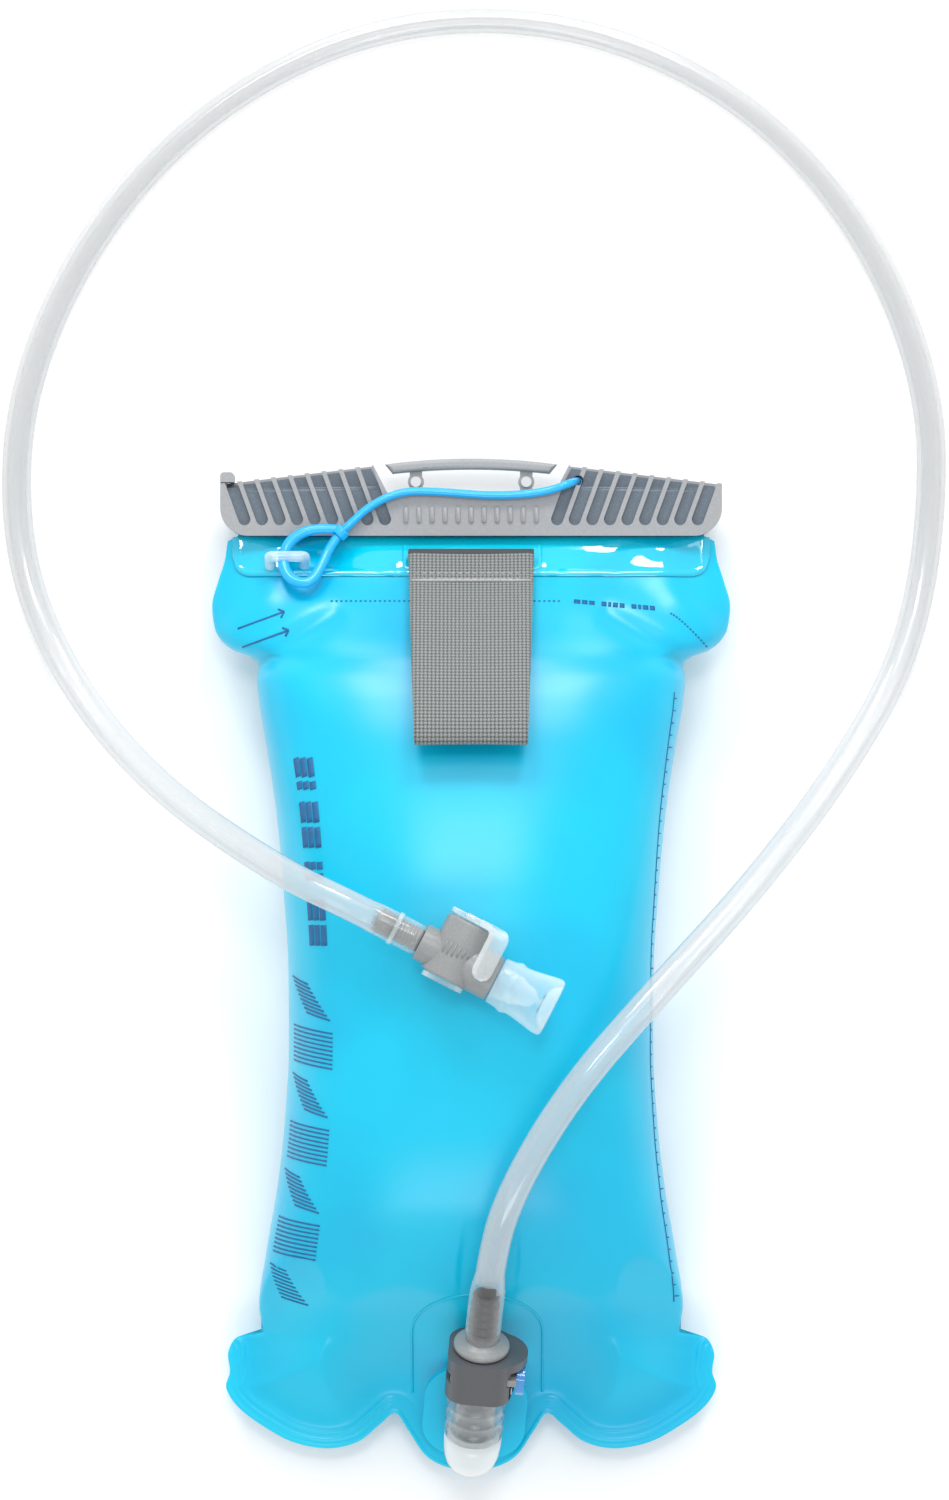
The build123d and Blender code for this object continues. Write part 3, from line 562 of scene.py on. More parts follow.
def swept(name: str, path: Sequence[Vector], radius: Callable[[float], float], finish: Finish,
          steps: int = 20, squash: float = 1.0) -> bpy.types.Object:
    """Sweeps a round section along a path.

    Args:
        name: the piece's name.
        path: points in millimetres.
        radius: section radius at a distance along the path, both in millimetres.
        finish: the piece's finish.
        steps: how many columns the section has.
        squash: height of the section as a share of its width.

    Returns:
        The swept object, with closed ends.
    """
    verts, across, along = [], None, 0.0
    for i, point in enumerate(path):
        run = (path[min(i + 1, len(path) - 1)] - path[max(i - 1, 0)]).normalized()
        if across is None:
            across = run.cross(Vector((0, 0, 1)) if abs(run.z) < 0.9 else Vector((1, 0, 0))).normalized()
        across = (across - run * across.dot(run)).normalized()
        up = across.cross(run)
        along += (point - path[i - 1]).length if i else 0.0
        size = radius(along)
        for k in range(steps):
            turn = math.tau * k / steps
            verts.append(point + across * size * math.cos(turn) + up * size * squash * math.sin(turn))
    faces = grid_faces(len(path), steps, True)
    for ring, point in ((0, path[0]), (len(path) - 1, path[-1])):
        centre = len(verts)
        verts.append(point)
        faces += [(centre, ring * steps + k, ring * steps + (k + 1) % steps) for k in range(steps)]
    return make_object(name, verts, faces, finish)


def nurbs(name: str, route: Route) -> bpy.types.Object:
    """Makes a curve of one smooth spline with the route's points, in millimetres, as its control points."""
    curve = bpy.data.curves.new(name, "CURVE")
    curve.dimensions = "3D"
    curve.resolution_u = 16
    spline = curve.splines.new("NURBS")
    spline.points.add(len(route) - 1)
    for point, place in zip(spline.points, route):
        point.co = (*(c * MM for c in place), 1.0)
    spline.order_u = 3
    spline.use_endpoint_u = True
    line = bpy.data.objects.new(name, curve)
    bpy.context.scene.collection.objects.link(line)
    return line


def points_on(line: bpy.types.Object) -> list[Vector]:
    """Points along a curve that has no bevel, in millimetres."""
    mesh = bpy.data.meshes.new_from_object(line)
    points = [v.co / MM for v in mesh.vertices]
    bpy.data.meshes.remove(mesh)
    return points


def points_between(path: Sequence[Vector], start: float, end: float) -> list[Vector]:
    """The points of a line that lie between two distances along it."""
    kept, along = [], 0.0
    for i, point in enumerate(path):
        along += (point - path[i - 1]).length if i else 0.0
        if start <= along <= end:
            kept.append(point)
    return kept


def smooth_series(places: np.ndarray, values: np.ndarray, at: np.ndarray) -> np.ndarray:
    """Interpolates smoothly with no overshoot.

    Args:
        places: rising positions.
        values: a value at each.
        at: positions to find values at.

    Returns:
        The value at each asked position.
    """
    steps = np.diff(places)
    slopes = np.diff(values) / steps
    tangents = np.zeros(len(places))
    tangents[0], tangents[-1] = slopes[0], slopes[-1]
    for i in range(1, len(places) - 1):
        if slopes[i - 1] * slopes[i] > 0:
            tangents[i] = 2 * slopes[i - 1] * slopes[i] / (slopes[i - 1] + slopes[i])
    cell = np.clip(np.searchsorted(places, at) - 1, 0, len(steps) - 1)
    t = np.clip((at - places[cell]) / steps[cell], 0, 1)
    low, high, width = values[cell], values[cell + 1], steps[cell]
    return (low * (2 * t ** 3 - 3 * t ** 2 + 1) + high * (3 * t ** 2 - 2 * t ** 3)
            + width * (tangents[cell] * (t ** 3 - 2 * t ** 2 + t) + tangents[cell + 1] * (t ** 3 - t ** 2)))


def smooth_step(value: np.ndarray) -> np.ndarray:
    """Rises smoothly from 0 to 1 as the value does."""
    t = np.clip(value, 0, 1)
    return t * t * (3 - 2 * t)


# ---------------------------------------------------------------- shared places
JOINTS = {joint["name"]: joint for joint in frame["joints"]}
PORT_TIP = Vector((-0.5, -162.6, 22.5))
PORT_AXIS = Vector(JOINTS["plug_pull"]["axis"]).normalized()
PORT_RIGHT = -Vector(JOINTS["latch_press"]["axis"]).normalized()
PORT = axis_place(PORT_TIP, PORT_AXIS, PORT_RIGHT)
VALVE_END = Vector((-16.0, 9.6, 86.0))
BARREL_ACROSS = -Vector(JOINTS["shutoff_turn"]["axis"]).normalized()
VALVE_AXIS = BARREL_ACROSS.cross(Vector((0, 0, 1))).normalized()
VALVE = axis_place(VALVE_END, VALVE_AXIS, BARREL_ACROSS)


# ---------------------------------------------------------------- studio
@dataclass
class Studio:
    """Camera straight above, a pale floor and soft light from large panels."""

    centre: tuple[float, float] = (1.1, 69.5)
    camera_height: float = 2500.0
    seen_length: float = 487.5
    sensor: float = 36.0
    floor_half: float = 3000.0

    def build(self) -> None:
        """Makes the camera, the lights and the floor."""
        self.camera()
        self.world()
        self.panel("key_panel", (140, 1250, 2150), (1000, 600), 4.0)
        self.panel("low_fill", (0, -1400, 1500), (1100, 500), 6.0)
        for side in (-1, 1):
            self.panel("band_panel", (side * 370, 1560, 980), (430, 400), 9.0)
        self.panel("crown_panel", (-25, 753, 2200), (640, 250), 7.0)
        self.floor()

    def camera(self) -> None:
        """Places the camera over the middle of the bag and its tube and makes it the scene's camera."""
        data = bpy.data.cameras.new("camera")
        data.sensor_width = self.sensor
        data.lens = self.sensor * self.camera_height / self.seen_length
        data.clip_end = 20.0
        camera = bpy.data.objects.new("camera", data)
        camera.location = (self.centre[0] * MM, self.centre[1] * MM, self.camera_height * MM)
        bpy.context.scene.collection.objects.link(camera)
        bpy.context.scene.camera = camera

    def world(self) -> None:
        """Lights everything a little from all round, and keeps colours as vivid as the finishes say."""
        world = bpy.data.worlds.new("studio")
        world.use_nodes = True
        world.node_tree.nodes["Background"].inputs["Color"].default_value = (1.0, 1.0, 1.0, 1.0)
        world.node_tree.nodes["Background"].inputs["Strength"].default_value = 0.82
        bpy.context.scene.world = world
        bpy.context.scene.view_settings.view_transform = "Standard"

    def panel(self, name: str, place: tuple, size: tuple[float, float], power: float) -> None:
        """Adds a rectangular light panel that faces the bag.

        Args:
            name: the light's name.
            place: its middle, in millimetres.
            size: width and height in millimetres.
            power: its power in watts.
        """
        data = bpy.data.lights.new(name, "AREA")
        data.shape = "RECTANGLE"
        data.size, data.size_y = size[0] * MM, size[1] * MM
        data.energy = power
        lamp = bpy.data.objects.new(name, data)
        lamp.location = Vector(place) * MM
        aim = Vector((0, 20, 40)) - Vector(place)
        lamp.rotation_euler = aim.to_track_quat("-Z", "Y").to_euler()
        bpy.context.scene.collection.objects.link(lamp)

    def floor(self) -> None:
        """Lays the pale floor."""
        half = self.floor_half
        paper = MouldedPlastic("floor_paper", "#fdfdfd", roughness=0.9, fleck="#ffffff", grain_mm=3.0,
                               grain_depth_mm=0.0)
        mesh = bpy.data.meshes.new("floor")
        corners = [(-half, -half), (half, -half), (half, half), (-half, half)]
        mesh.from_pydata([(x * MM, y * MM, 0.0) for x, y in corners], [], [(0, 1, 2, 3)])
        mesh.materials.append(paper.material())
        floor = bpy.data.objects.new("floor", mesh)
        bpy.context.scene.collection.objects.link(floor)


# ---------------------------------------------------------------- cords
@dataclass
class DrinkingTube:
    """Clear drinking tube from the plug's barb, round the bag, to the shut-off."""

    outer: float = 4.75
    bore: float = 3.2
    over_barb: float = 5.7
    barb_grip: float = 17.0
    ease: float = 9.0
    diameter: float = 9.5
    start: float = 53.5
    table: float = 4.8

    def route(self) -> Route:
        """The tube's route, in millimetres, from the plug to the shut-off."""
        table = self.table
        return (
            tuple(PORT @ Vector((0, 0, self.start))), tuple(PORT @ Vector((0, 0, 84.0))),
            (13.0, -68.5, 78.5), (31.5, -37.5, 82.5), (57.5, -8.0, 76.0), (88.5, 24.5, 55.0),
            (117.5, 60.5, 27.0), (140.0, 97.5, 9.0), (149.2, 138.0, table), (149.4, 187.7, table),
            (126.7, 242.0, table), (85.7, 284.5, table), (30.9, 307.2, table), (-28.2, 306.3, table),
            (-81.3, 281.8, table), (-121.9, 240.5, table), (-146.4, 187.6, table), (-148.3, 136.5, table),
            (-133.5, 96.5, 10.0), (-104.0, 60.0, 37.0), (-62.5, 31.9, 72.0), (-34.0, 18.9, 85.8),
            tuple(VALVE_END),
        )

    def build(self) -> None:
        line = nurbs("tube_line", self.route())
        path = points_on(line)
        bpy.data.objects.remove(line)
        total = sum((b - a).length for a, b in zip(path, path[1:]))
        insert = 15.6

        def outside(along: float) -> float:
            """Outer radius: swollen over the plug's barb and a little over the insert."""
            start = self.over_barb - self.outer
            swell = start * float(smooth_step(np.array((self.barb_grip + self.ease - along) / self.ease)))
            end = 0.3 * float(smooth_step(np.array((along - (total - insert - 4)) / 4)))
            return self.outer + swell + end

        wall = swept("drinking_tube", path, outside, HOSE, steps=36)
        self.snug_ends(wall, path, total - insert)
        open_path = points_between(path, self.barb_grip + 3.5, total - insert)
        inside = swept("tube_bore", open_path, lambda along: self.bore, BORE, steps=28)
        for piece in (wall, inside):
            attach(piece, "plug")
        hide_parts("drink_tube")
        LOG.info("drinking tube: %.0f mm long", total)

    def snug_ends(self, wall: bpy.types.Object, path: list[Vector], last: float) -> None:
        """Makes the tube clearer where it is stretched over the barbs and has no bore to scatter light.

        Args:
            wall: the tube's outside.
            path: the tube's centre line.
            last: how far along the line the insert starts.
        """
        wall.data.materials.append(SNUG_HOSE.material())
        line = np.array([tuple(p) for p in path])
        along = np.concatenate(([0.0], np.cumsum(np.linalg.norm(np.diff(line, axis=0), axis=1))))
        for face in wall.data.polygons:
            near = np.linalg.norm(line - np.array(face.center) / MM, axis=1)
            place = along[int(np.argmin(near))]
            face.material_index = int(place < self.barb_grip + 4.0 or place > last)


@dataclass
class Tether:
    """Thin moulded tether from the closure's wing to the eyelet, with a thicker hitched end."""

    radius: float = 1.3
    loop_radius: float = 1.75
    route: Route = (
        (34.5, 156.4, 9.2), (34.5, 156.4, 26.4), (23.5, 152.2, 25.4), (7.0, 151.2, 25.1), (-9.5, 152.6, 25.2),
        (-22.5, 152.9, 25.3), (-32.5, 148.2, 25.6), (-38.5, 142.6, 26.2), (-41.6, 139.6, 26.6),
    )
    loop_route: Route = (
        (-42.9, 140.4, 26.9), (-50.5, 141.1, 26.6), (-58.2, 137.4, 26.6), (-61.0, 130.6, 27.5),
        (-58.2, 123.9, 31.4), (-51.6, 122.6, 33.4), (-48.2, 128.2, 30.6), (-45.6, 134.4, 27.9),
        (-42.9, 138.2, 27.2),
    )

    def build(self) -> None:
        line = nurbs("tether_line", self.route)
        path = points_on(line)
        bpy.data.objects.remove(line)
        total = sum((b - a).length for a, b in zip(path, path[1:]))
        cord = swept("tether_cord", path, lambda along: self.radius, CORD_RUBBER, steps=16)
        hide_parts("tether")
        tuple(Vector(self.route[-1]) * MM)
        tuple(Vector(self.route[1]) * MM)
        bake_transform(cord)
        self.hitch()
        LOG.info("tether: %.0f mm long", total)

    def hitch(self) -> None:
        """Makes the thick hitched end and the knob that the thin cord passes through."""
        line = nurbs("hitch_line", self.loop_route)
        path = points_on(line)
        bpy.data.objects.remove(line)
        total = sum((b - a).length for a, b in zip(path, path[1:]))

        def taper(along: float) -> float:
            """Thickest in the middle of the loop."""
            return self.loop_radius * (0.86 + 0.2 * math.sin(math.pi * along / total))

        loop = swept("tether_hitch", path, taper, CORD_RUBBER, steps=20, squash=0.9)
        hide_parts("tether_loop")
        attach(loop, "bag")
        knob_place = axis_place(Vector((-41.9, 139.5, 26.8)), Vector((-0.72, -0.69, 0)).normalized(),
                                Vector((0, 0, 1)))
        profile = rounded([(1.2, -1.5), (2.6, -1.5), (2.6, 1.5), (1.2, 1.5)], 0.65, 5)
        knob = lathe("hitch_knob", profile, knob_place, CORD_RUBBER, steps=32)
        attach(knob, "bag")


# ---------------------------------------------------------------- bag
@dataclass(frozen=True)
class Station:
    """One cross-section of the filled bag: where it is, its half width, underside, top, and how sharp
    its sides are, from 1, round, to 2, as sharp as a folded film edge."""

    y: float
    half: float
    low: float
    high: float
    edge: float


@dataclass
class FilmBag:
    """The welded film bag: filled body, shoulder wings, the flap into the closure and the bottom weld.

    Its upper film is one height over X and Y: the filled body, held down towards the lobed weld."""

    stations: tuple[Station, ...] = (
        Station(-166.0, 80.0, 9.5, 15.5, 2.0), Station(-155.0, 80.0, 8.6, 18.0, 1.8),
        Station(-145.0, 80.0, 5.5, 24.0, 1.6), Station(-136.0, 80.2, 3.4, 29.0, 1.5),
        Station(-126.0, 79.2, 1.8, 34.0, 1.4), Station(-120.8, 75.6, 1.2, 36.6, 1.3),
        Station(-118.6, 67.6, 0.9, 37.8, 1.15), Station(-114.5, 67.8, 0.5, 40.2, 1.05),
        Station(-110.0, 68.4, 0.1, 43.5, 1.0), Station(-92.0, 65.9, 0.0, 56.0, 1.0),
        Station(-72.0, 62.4, 0.0, 66.2, 1.0), Station(-50.0, 59.8, 0.0, 72.2, 1.0),
        Station(-25.0, 58.4, 0.0, 75.4, 1.0), Station(0.0, 58.6, 0.0, 76.0, 1.0),
        Station(24.0, 60.1, 0.0, 74.3, 1.0), Station(48.0, 62.3, 0.0, 70.3, 1.0),
        Station(70.0, 65.6, 0.0, 63.8, 1.0), Station(85.5, 68.3, 0.0, 57.0, 1.0),
        Station(92.5, 69.0, 0.0, 53.2, 1.0), Station(96.5, 68.4, 0.1, 50.8, 1.1),
        Station(98.8, 69.4, 0.3, 49.4, 1.3), Station(101.5, 76.5, 0.6, 47.4, 1.6),
        Station(104.5, 80.4, 1.0, 45.2, 1.75), Station(109.0, 82.8, 1.9, 41.6, 1.85),
        Station(116.0, 83.6, 4.2, 36.0, 1.9), Station(124.0, 81.6, 8.6, 29.0, 1.95),
        Station(131.0, 79.4, 12.2, 23.6, 2.0), Station(138.0, 78.2, 15.9, 18.7, 2.0),
        Station(138.6, 75.2, 16.1, 18.4, 2.0), Station(151.5, 75.2, 15.4, 19.1, 2.0),
    )
    side_level: float = 0.42
    squareness: float = 0.92
    fullness: float = 2.5
    underside: float = 0.62
    row_step: float = 1.6
    columns: int = 320
    body_end: float = -117.0
    seam_z: float = 11.5
    ply: float = 0.6
    flat_weld: float = 5.6
    outline: tuple[tuple[float, float], ...] = (
        (67.8, -117.0), (67.2, -118.4), (71.5, -119.4), (76.2, -120.8), (78.6, -125.5), (78.0, -131.5),
        (79.2, -137.0), (74.8, -143.6), (66.0, -150.0), (57.0, -154.6), (46.0, -156.4), (36.5, -154.2),
        (29.5, -148.6), (24.5, -145.0), (20.3, -150.6), (14.8, -158.6), (8.0, -162.4), (0.0, -163.4),
    )
    lobe_start: int = 4

    def series(self, name: str, y: np.ndarray) -> np.ndarray:
        """A station value, found smoothly at any Y."""
        places = np.array([s.y for s in self.stations])
        return smooth_series(places, np.array([getattr(s, name) for s in self.stations]), y)

    def dome(self, x: np.ndarray, y: np.ndarray) -> tuple[np.ndarray, np.ndarray]:
        """The filled body without its weld: how high its upper film stands, and its side level."""
        half, low, high = (self.series(n, y) for n in ("half", "low", "high"))
        level = low + self.side_level * (high - low)
        share = np.clip(np.abs(x) / half, 0, 1) ** (1 / self.squareness)
        power = self.series("edge", y) / self.fullness
        rise = np.clip(1 - share ** self.fullness, 0, 1) ** power
        return level + (high - level) * rise + self.creases(x, y, rise), level

    def top(self, x: np.ndarray, y: np.ndarray) -> np.ndarray:
        """Height of the bag's upper film.

        Args:
            x: positions to the right.
            y: positions towards the closure.

        Returns:
            Heights in millimetres.
        """
        x, y = np.broadcast_arrays(np.asarray(x, float), np.asarray(y, float))
        height, _ = self.dome(x, y)
        inside = self.from_weld(x, y)
        pillow = np.clip(inside - self.flat_weld, 0, None)
        held = self.seam_z + self.ply + 1.15 * pillow ** 2 / (pillow + 7.0) + self.beads(x, inside)
        soft = 3.0 * smooth_step((-100 - y) / 12) + 1e-3
        height = -soft * np.logaddexp(-height / soft, -held / soft)
        return np.minimum(height, np.maximum(self.port_floor(x, y), self.seam_z + self.ply))

    def bottom(self, x: np.ndarray, y: np.ndarray) -> np.ndarray:
        """Height of the bag's lower film under the weld."""
        x, y = np.broadcast_arrays(np.asarray(x, float), np.asarray(y, float))
        pillow = np.clip(self.from_weld(x, y) - self.flat_weld, 0, None)
        return np.maximum(self.seam_z - self.ply - 0.9 * pillow ** 2 / (pillow + 9.0), 0.0)

    def from_weld(self, x: np.ndarray, y: np.ndarray) -> np.ndarray:
        """How far a place is from the lobed edge that is welded."""
        line = self.lobed_edge
        flat = np.column_stack((x.ravel(), y.ravel()))
        near = flat[:, 1] < -84
        away = np.full(len(flat), 500.0)
        gaps = flat[near][:, None, :] - line[None, :, :]
        away[near] = np.sqrt((gaps ** 2).sum(axis=2).min(axis=1))
        return away.reshape(x.shape)

    def beads(self, x: np.ndarray, inside: np.ndarray) -> np.ndarray:
        """Raised lines that the heated bars leave along the weld; fewer on the middle lobe."""
        side_lobe = smooth_step((np.abs(x) - 22) / 8)
        edge = 0.25 * np.exp(-((inside - 0.7) / 0.5) ** 2)
        lines = 0.32 * np.exp(-((inside - 2.9) / 0.4) ** 2) + 0.6 * np.exp(-((inside - 5.0) / 0.7) ** 2)
        return edge + lines * side_lobe

    def on_side(self, y: float, degrees: float, side: int, lift: float = 0.12) -> Vector:
        """Point on the upper film at an angle up from the widest line.

        Args:
            y: position towards the closure.
            degrees: angle, 0 at the bag's side and 90 at its crown.
            side: 1 for the right side, -1 for the left.
            lift: how far the point stands off the film.

        Returns:
            The point in millimetres.
        """
        half = float(self.series("half", np.array([y]))[0])
        x = side * half * math.cos(math.radians(degrees)) ** self.squareness
        out = Vector((side * math.cos(math.radians(degrees)), 0, math.sin(math.radians(degrees))))
        return Vector((x, y, float(self.top(x, np.array([y]))[0]))) + out * lift

    def creases(self, x: np.ndarray, y: np.ndarray, rise: np.ndarray) -> np.ndarray:
        """Folds and puckers of the upper film, which fade out at its sides."""
        side = np.abs(x)
        folds = (
            (70, 97, 44, 113, -3.2, 3.2), (80, 106, 60, 124, 1.6, 4.5), (64, 100, 52, 84, 1.2, 6.0),
            (66, -117, 46, -108, -1.6, 4.5), (25, -146, 21, -118, -1.6, 4.5), (24, 126, 26, 112, -0.9, 3.0),
            (48, 138, 40, 118, -0.7, 4.0), (60, 136, 66, 120, 0.7, 4.0),
        )
        total = np.zeros(x.shape)
        for x0, y0, x1, y1, depth, width in folds:
            run = np.array((x1 - x0, y1 - y0), float)
            length = np.hypot(*run)
            along = np.clip(((side - x0) * run[0] + (y - y0) * run[1]) / length ** 2, 0, 1)
            gap = np.hypot(side - (x0 + run[0] * along), y - (y0 + run[1] * along))
            total += depth * np.exp(-(gap / width) ** 2) * (1 - 0.6 * along)
        ripple = 0.3 * np.sin(y / 5.3 + 1.7 * np.sin(x / 23.0)) * np.sin(x / 9.1 + 0.8)
        near_closure = smooth_step((y - 92) / 16) * smooth_step((137 - y) / 4)
        return (total + ripple * near_closure) * smooth_step(rise / 0.45) * smooth_step((138.2 - y) / 4)

    def port_floor(self, x: np.ndarray, y: np.ndarray) -> np.ndarray:
        """Highest that the film may be under the port, which sits in it."""
        along = (y - PORT_TIP.y) / PORT_AXIS.y
        axis_x, axis_z = PORT_TIP.x + along * PORT_AXIS.x, PORT_TIP.z + along * PORT_AXIS.z
        sideways = np.abs(x - axis_x)
        under = axis_z - 9.9 / math.hypot(PORT_AXIS.x, PORT_AXIS.y)
        wall = np.clip(sideways - 8.6, 0, None)
        return under + 0.16 * wall ** 2 + 0.25 * wall

    def build(self) -> None:
        """Makes the film and the weld line round the port."""
        edge = self.smooth_outline(self.columns + 1)
        last = len(self.outline) - 1
        lobes = self.smooth_outline(500)
        start = int(500 * self.lobe_start / (2 * last))
        self.lobed_edge = np.array([tuple(p) for p in lobes[start:len(lobes) - start]])
        film = self.film(edge)
        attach(film, "bag")
        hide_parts("bag_body")
        self.port_line()
        LOG.info("bag: %d faces of film", len(film.data.polygons))

    def film(self, edge: list[Vector]) -> bpy.types.Object:
        """Makes the body as one closed skin, and the two films that reach from it to the weld's edge.

        Args:
            edge: the lobed edge from right to left.

        Returns:
            The whole bag's film.
        """
        ys = np.linspace(self.body_end, self.stations[-1].y, int((151.5 - self.body_end) / self.row_step))
        angles = np.linspace(0, math.tau, 2 * self.columns, endpoint=False)
        y, t = (a.ravel() for a in np.meshgrid(ys, angles, indexing="ij"))
        half, low, high, sharp = (self.series(n, y) for n in ("half", "low", "high", "edge"))
        x = half * np.abs(np.cos(t)) ** self.squareness * np.sign(np.cos(t))
        level = low + self.side_level * (high - low)
        down_power = self.underside + (sharp - 1) * (2.0 - self.underside)
        under = level - (level - low) * np.abs(np.sin(t)) ** down_power
        z = np.where(np.sin(t) >= 0, self.top(x, y), under)
        verts = list(map(tuple, np.column_stack((x, y, np.maximum(z, 0.0)))))
        count = 2 * self.columns
        faces = grid_faces(len(ys), count, True)
        faces.append(tuple((len(ys) - 1) * count + i for i in range(count)))
        self.reach_to_edge(verts, faces, edge)
        return make_object("film_bag", verts, faces, FILM)

    def reach_to_edge(self, verts: list, faces: list, edge: list[Vector]) -> None:
        """Adds the upper and lower film between the body's last row and the weld's edge.

        Args:
            verts: the skin's points, whose first row is the body's last row.
            faces: the skin's faces.
            edge: the lobed edge from right to left, one point for each column.
        """
        count = 2 * self.columns
        shares = np.concatenate((np.linspace(0, 1, 27)[:-1] * 0.999, [1.0]))
        rays = []
        for i, point in enumerate(edge):
            root = Vector(verts[i][:2])
            reach = (point - root).length
            fine = min(8.0, 0.5 * reach)
            spots = np.concatenate((np.linspace(0, fine, 27)[:-1], fine + (reach - fine) * shares))
            rays.append([point.lerp(root, float(s / max(reach, 1e-6))) for s in spots])
        places = np.array([[tuple(p) for p in ray] for ray in rays])
        rows = places.shape[1]
        fade = smooth_step((places[:, :, 1] - self.body_end + 3.0) / 3.0)
        for upper in (True, False):
            base = len(verts)
            heights = (self.top if upper else self.bottom)(places[:, :, 0], places[:, :, 1])
            for i in range(len(edge)):
                root = verts[i] if upper else verts[(count - i) % count]
                for k in range(rows):
                    z = heights[i, k] + (root[2] - heights[i, -1]) * float(fade[i, k])
                    z = root[2] if k == rows - 1 else z
                    px, py = (root[0], root[1]) if k == rows - 1 else places[i, k]
                    verts.append((px, py, max(z, 0.0)))
            faces += [tuple(base + v for v in f) for f in grid_faces(len(edge), rows, False)]
        start = len(verts) - 2 * len(edge) * rows
        lower = start + len(edge) * rows
        for i in range(len(edge) - 1):
            a, b = start + i * rows, lower + i * rows
            faces.append((a, a + rows, b + rows, b))

    def smooth_outline(self, count: int) -> list[Vector]:
        """The weld's lower edge from right to left as a smooth line of evenly spaced points."""
        right = [Vector((x, y)) for x, y in self.outline]
        points = right + [Vector((-p.x, p.y)) for p in right[-2::-1]]
        line = []
        for i in range(count):
            place = i / (count - 1) * (len(points) - 1)
            k = min(int(place), len(points) - 2)
            t = place - k
            a, b = points[max(k - 1, 0)], points[k]
            c, d = points[k + 1], points[min(k + 2, len(points) - 1)]
            line.append(0.5 * (2 * b + (c - a) * t + (2 * a - 5 * b + 4 * c - d) * t ** 2
                               + (3 * b - a - 3 * c + d) * t ** 3))
        return line

    def port_line(self) -> None:
        """Makes the fine raised line where the port's flange is welded to the film."""
        middle, half, low, high = 2.0, 21.0, -138.0, -117.0
        path = []
        for i in range(24):
            path.append((middle + half, low + (high - low) * i / 24))
        for i in range(49):
            turn = math.pi * i / 48
            path.append((middle + half * math.cos(turn), high + 0.62 * half * math.sin(turn)))
        for i in range(1, 25):
            path.append((middle - half, high + (low - high) * i / 24))
        points = [Vector((x, y, float(self.top(x, np.array([y]))[0]) + 0.05)) for x, y in path]
        line = swept("port_weld_line", points, lambda along: 0.42, FILM, steps=8)
        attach(line, "bag")


@dataclass
class GlossBand:
    """Clear reinforcing film over the flap, and the patch that anchors the strap."""

    half: float = 77.0
    low_y: float = 125.4
    high_y: float = 138.2
    corner: float = 6.0
    thickness: float = 0.9

    def build(self, bag: FilmBag) -> None:
        """Makes the band and the strap's patch on the flap."""
        band = self.film(bag, "reinforcing_band", 0.0, self.half, self.low_y, self.high_y, self.corner, 0.25)
        patch = self.film(bag, "strap_tab", 0.4, 23.0, 126.6, 135.6, 3.0, 0.35)
        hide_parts("gloss_band")
        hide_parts("strap_patch")
        for piece in (band, patch):
            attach(piece, "bag")
        LOG.info("reinforcing band and strap tab")

    def film(self, bag: FilmBag, name: str, middle: float, half: float, low: float, high: float,
             corner: float, lift: float) -> bpy.types.Object:
        """Makes a piece of film that follows the flap.

        Args:
            bag: the bag that it lies on.
            name: the piece's name.
            middle: X of its middle.
            half: half its width.
            low: Y of its lower edge.
            high: Y of its upper edge.
            corner: radius of its lower corners.
            lift: height of its underside over the bag.

        Returns:
            The film, with a rounded raised rim.
        """
        rows, columns = 22, 120
        verts = []
        for face in (1.0, 0.0):
            for i in range(rows):
                for j in range(columns):
                    x = half * (2 * j / (columns - 1) - 1)
                    from_side = half - abs(x)
                    cut = corner - math.sqrt(max(corner ** 2 - max(corner - from_side, 0) ** 2, 0))
                    bottom = low + cut
                    y = bottom + (high - bottom) * i / (rows - 1)
                    rim = min(1.0, from_side / 0.8, (y - bottom) / 0.8 + 0.02)
                    bead = 0.4 * math.exp(-((min(from_side, y - bottom) - 1.4) / 0.7) ** 2)
                    wave = 0.10 * math.sin(x / 13.0 + 0.6 * math.sin(y / 4.1))
                    up = lift + face * ((self.thickness + wave) * rim ** 0.5 + bead)
                    verts.append((middle + x, y, float(bag.top(middle + x, np.array([y]))[0]) + up))
        faces = grid_faces(rows, columns, False)
        faces += [tuple(v + rows * columns for v in f) for f in faces]
        return make_object(name, verts, faces, PATCH_FILM)


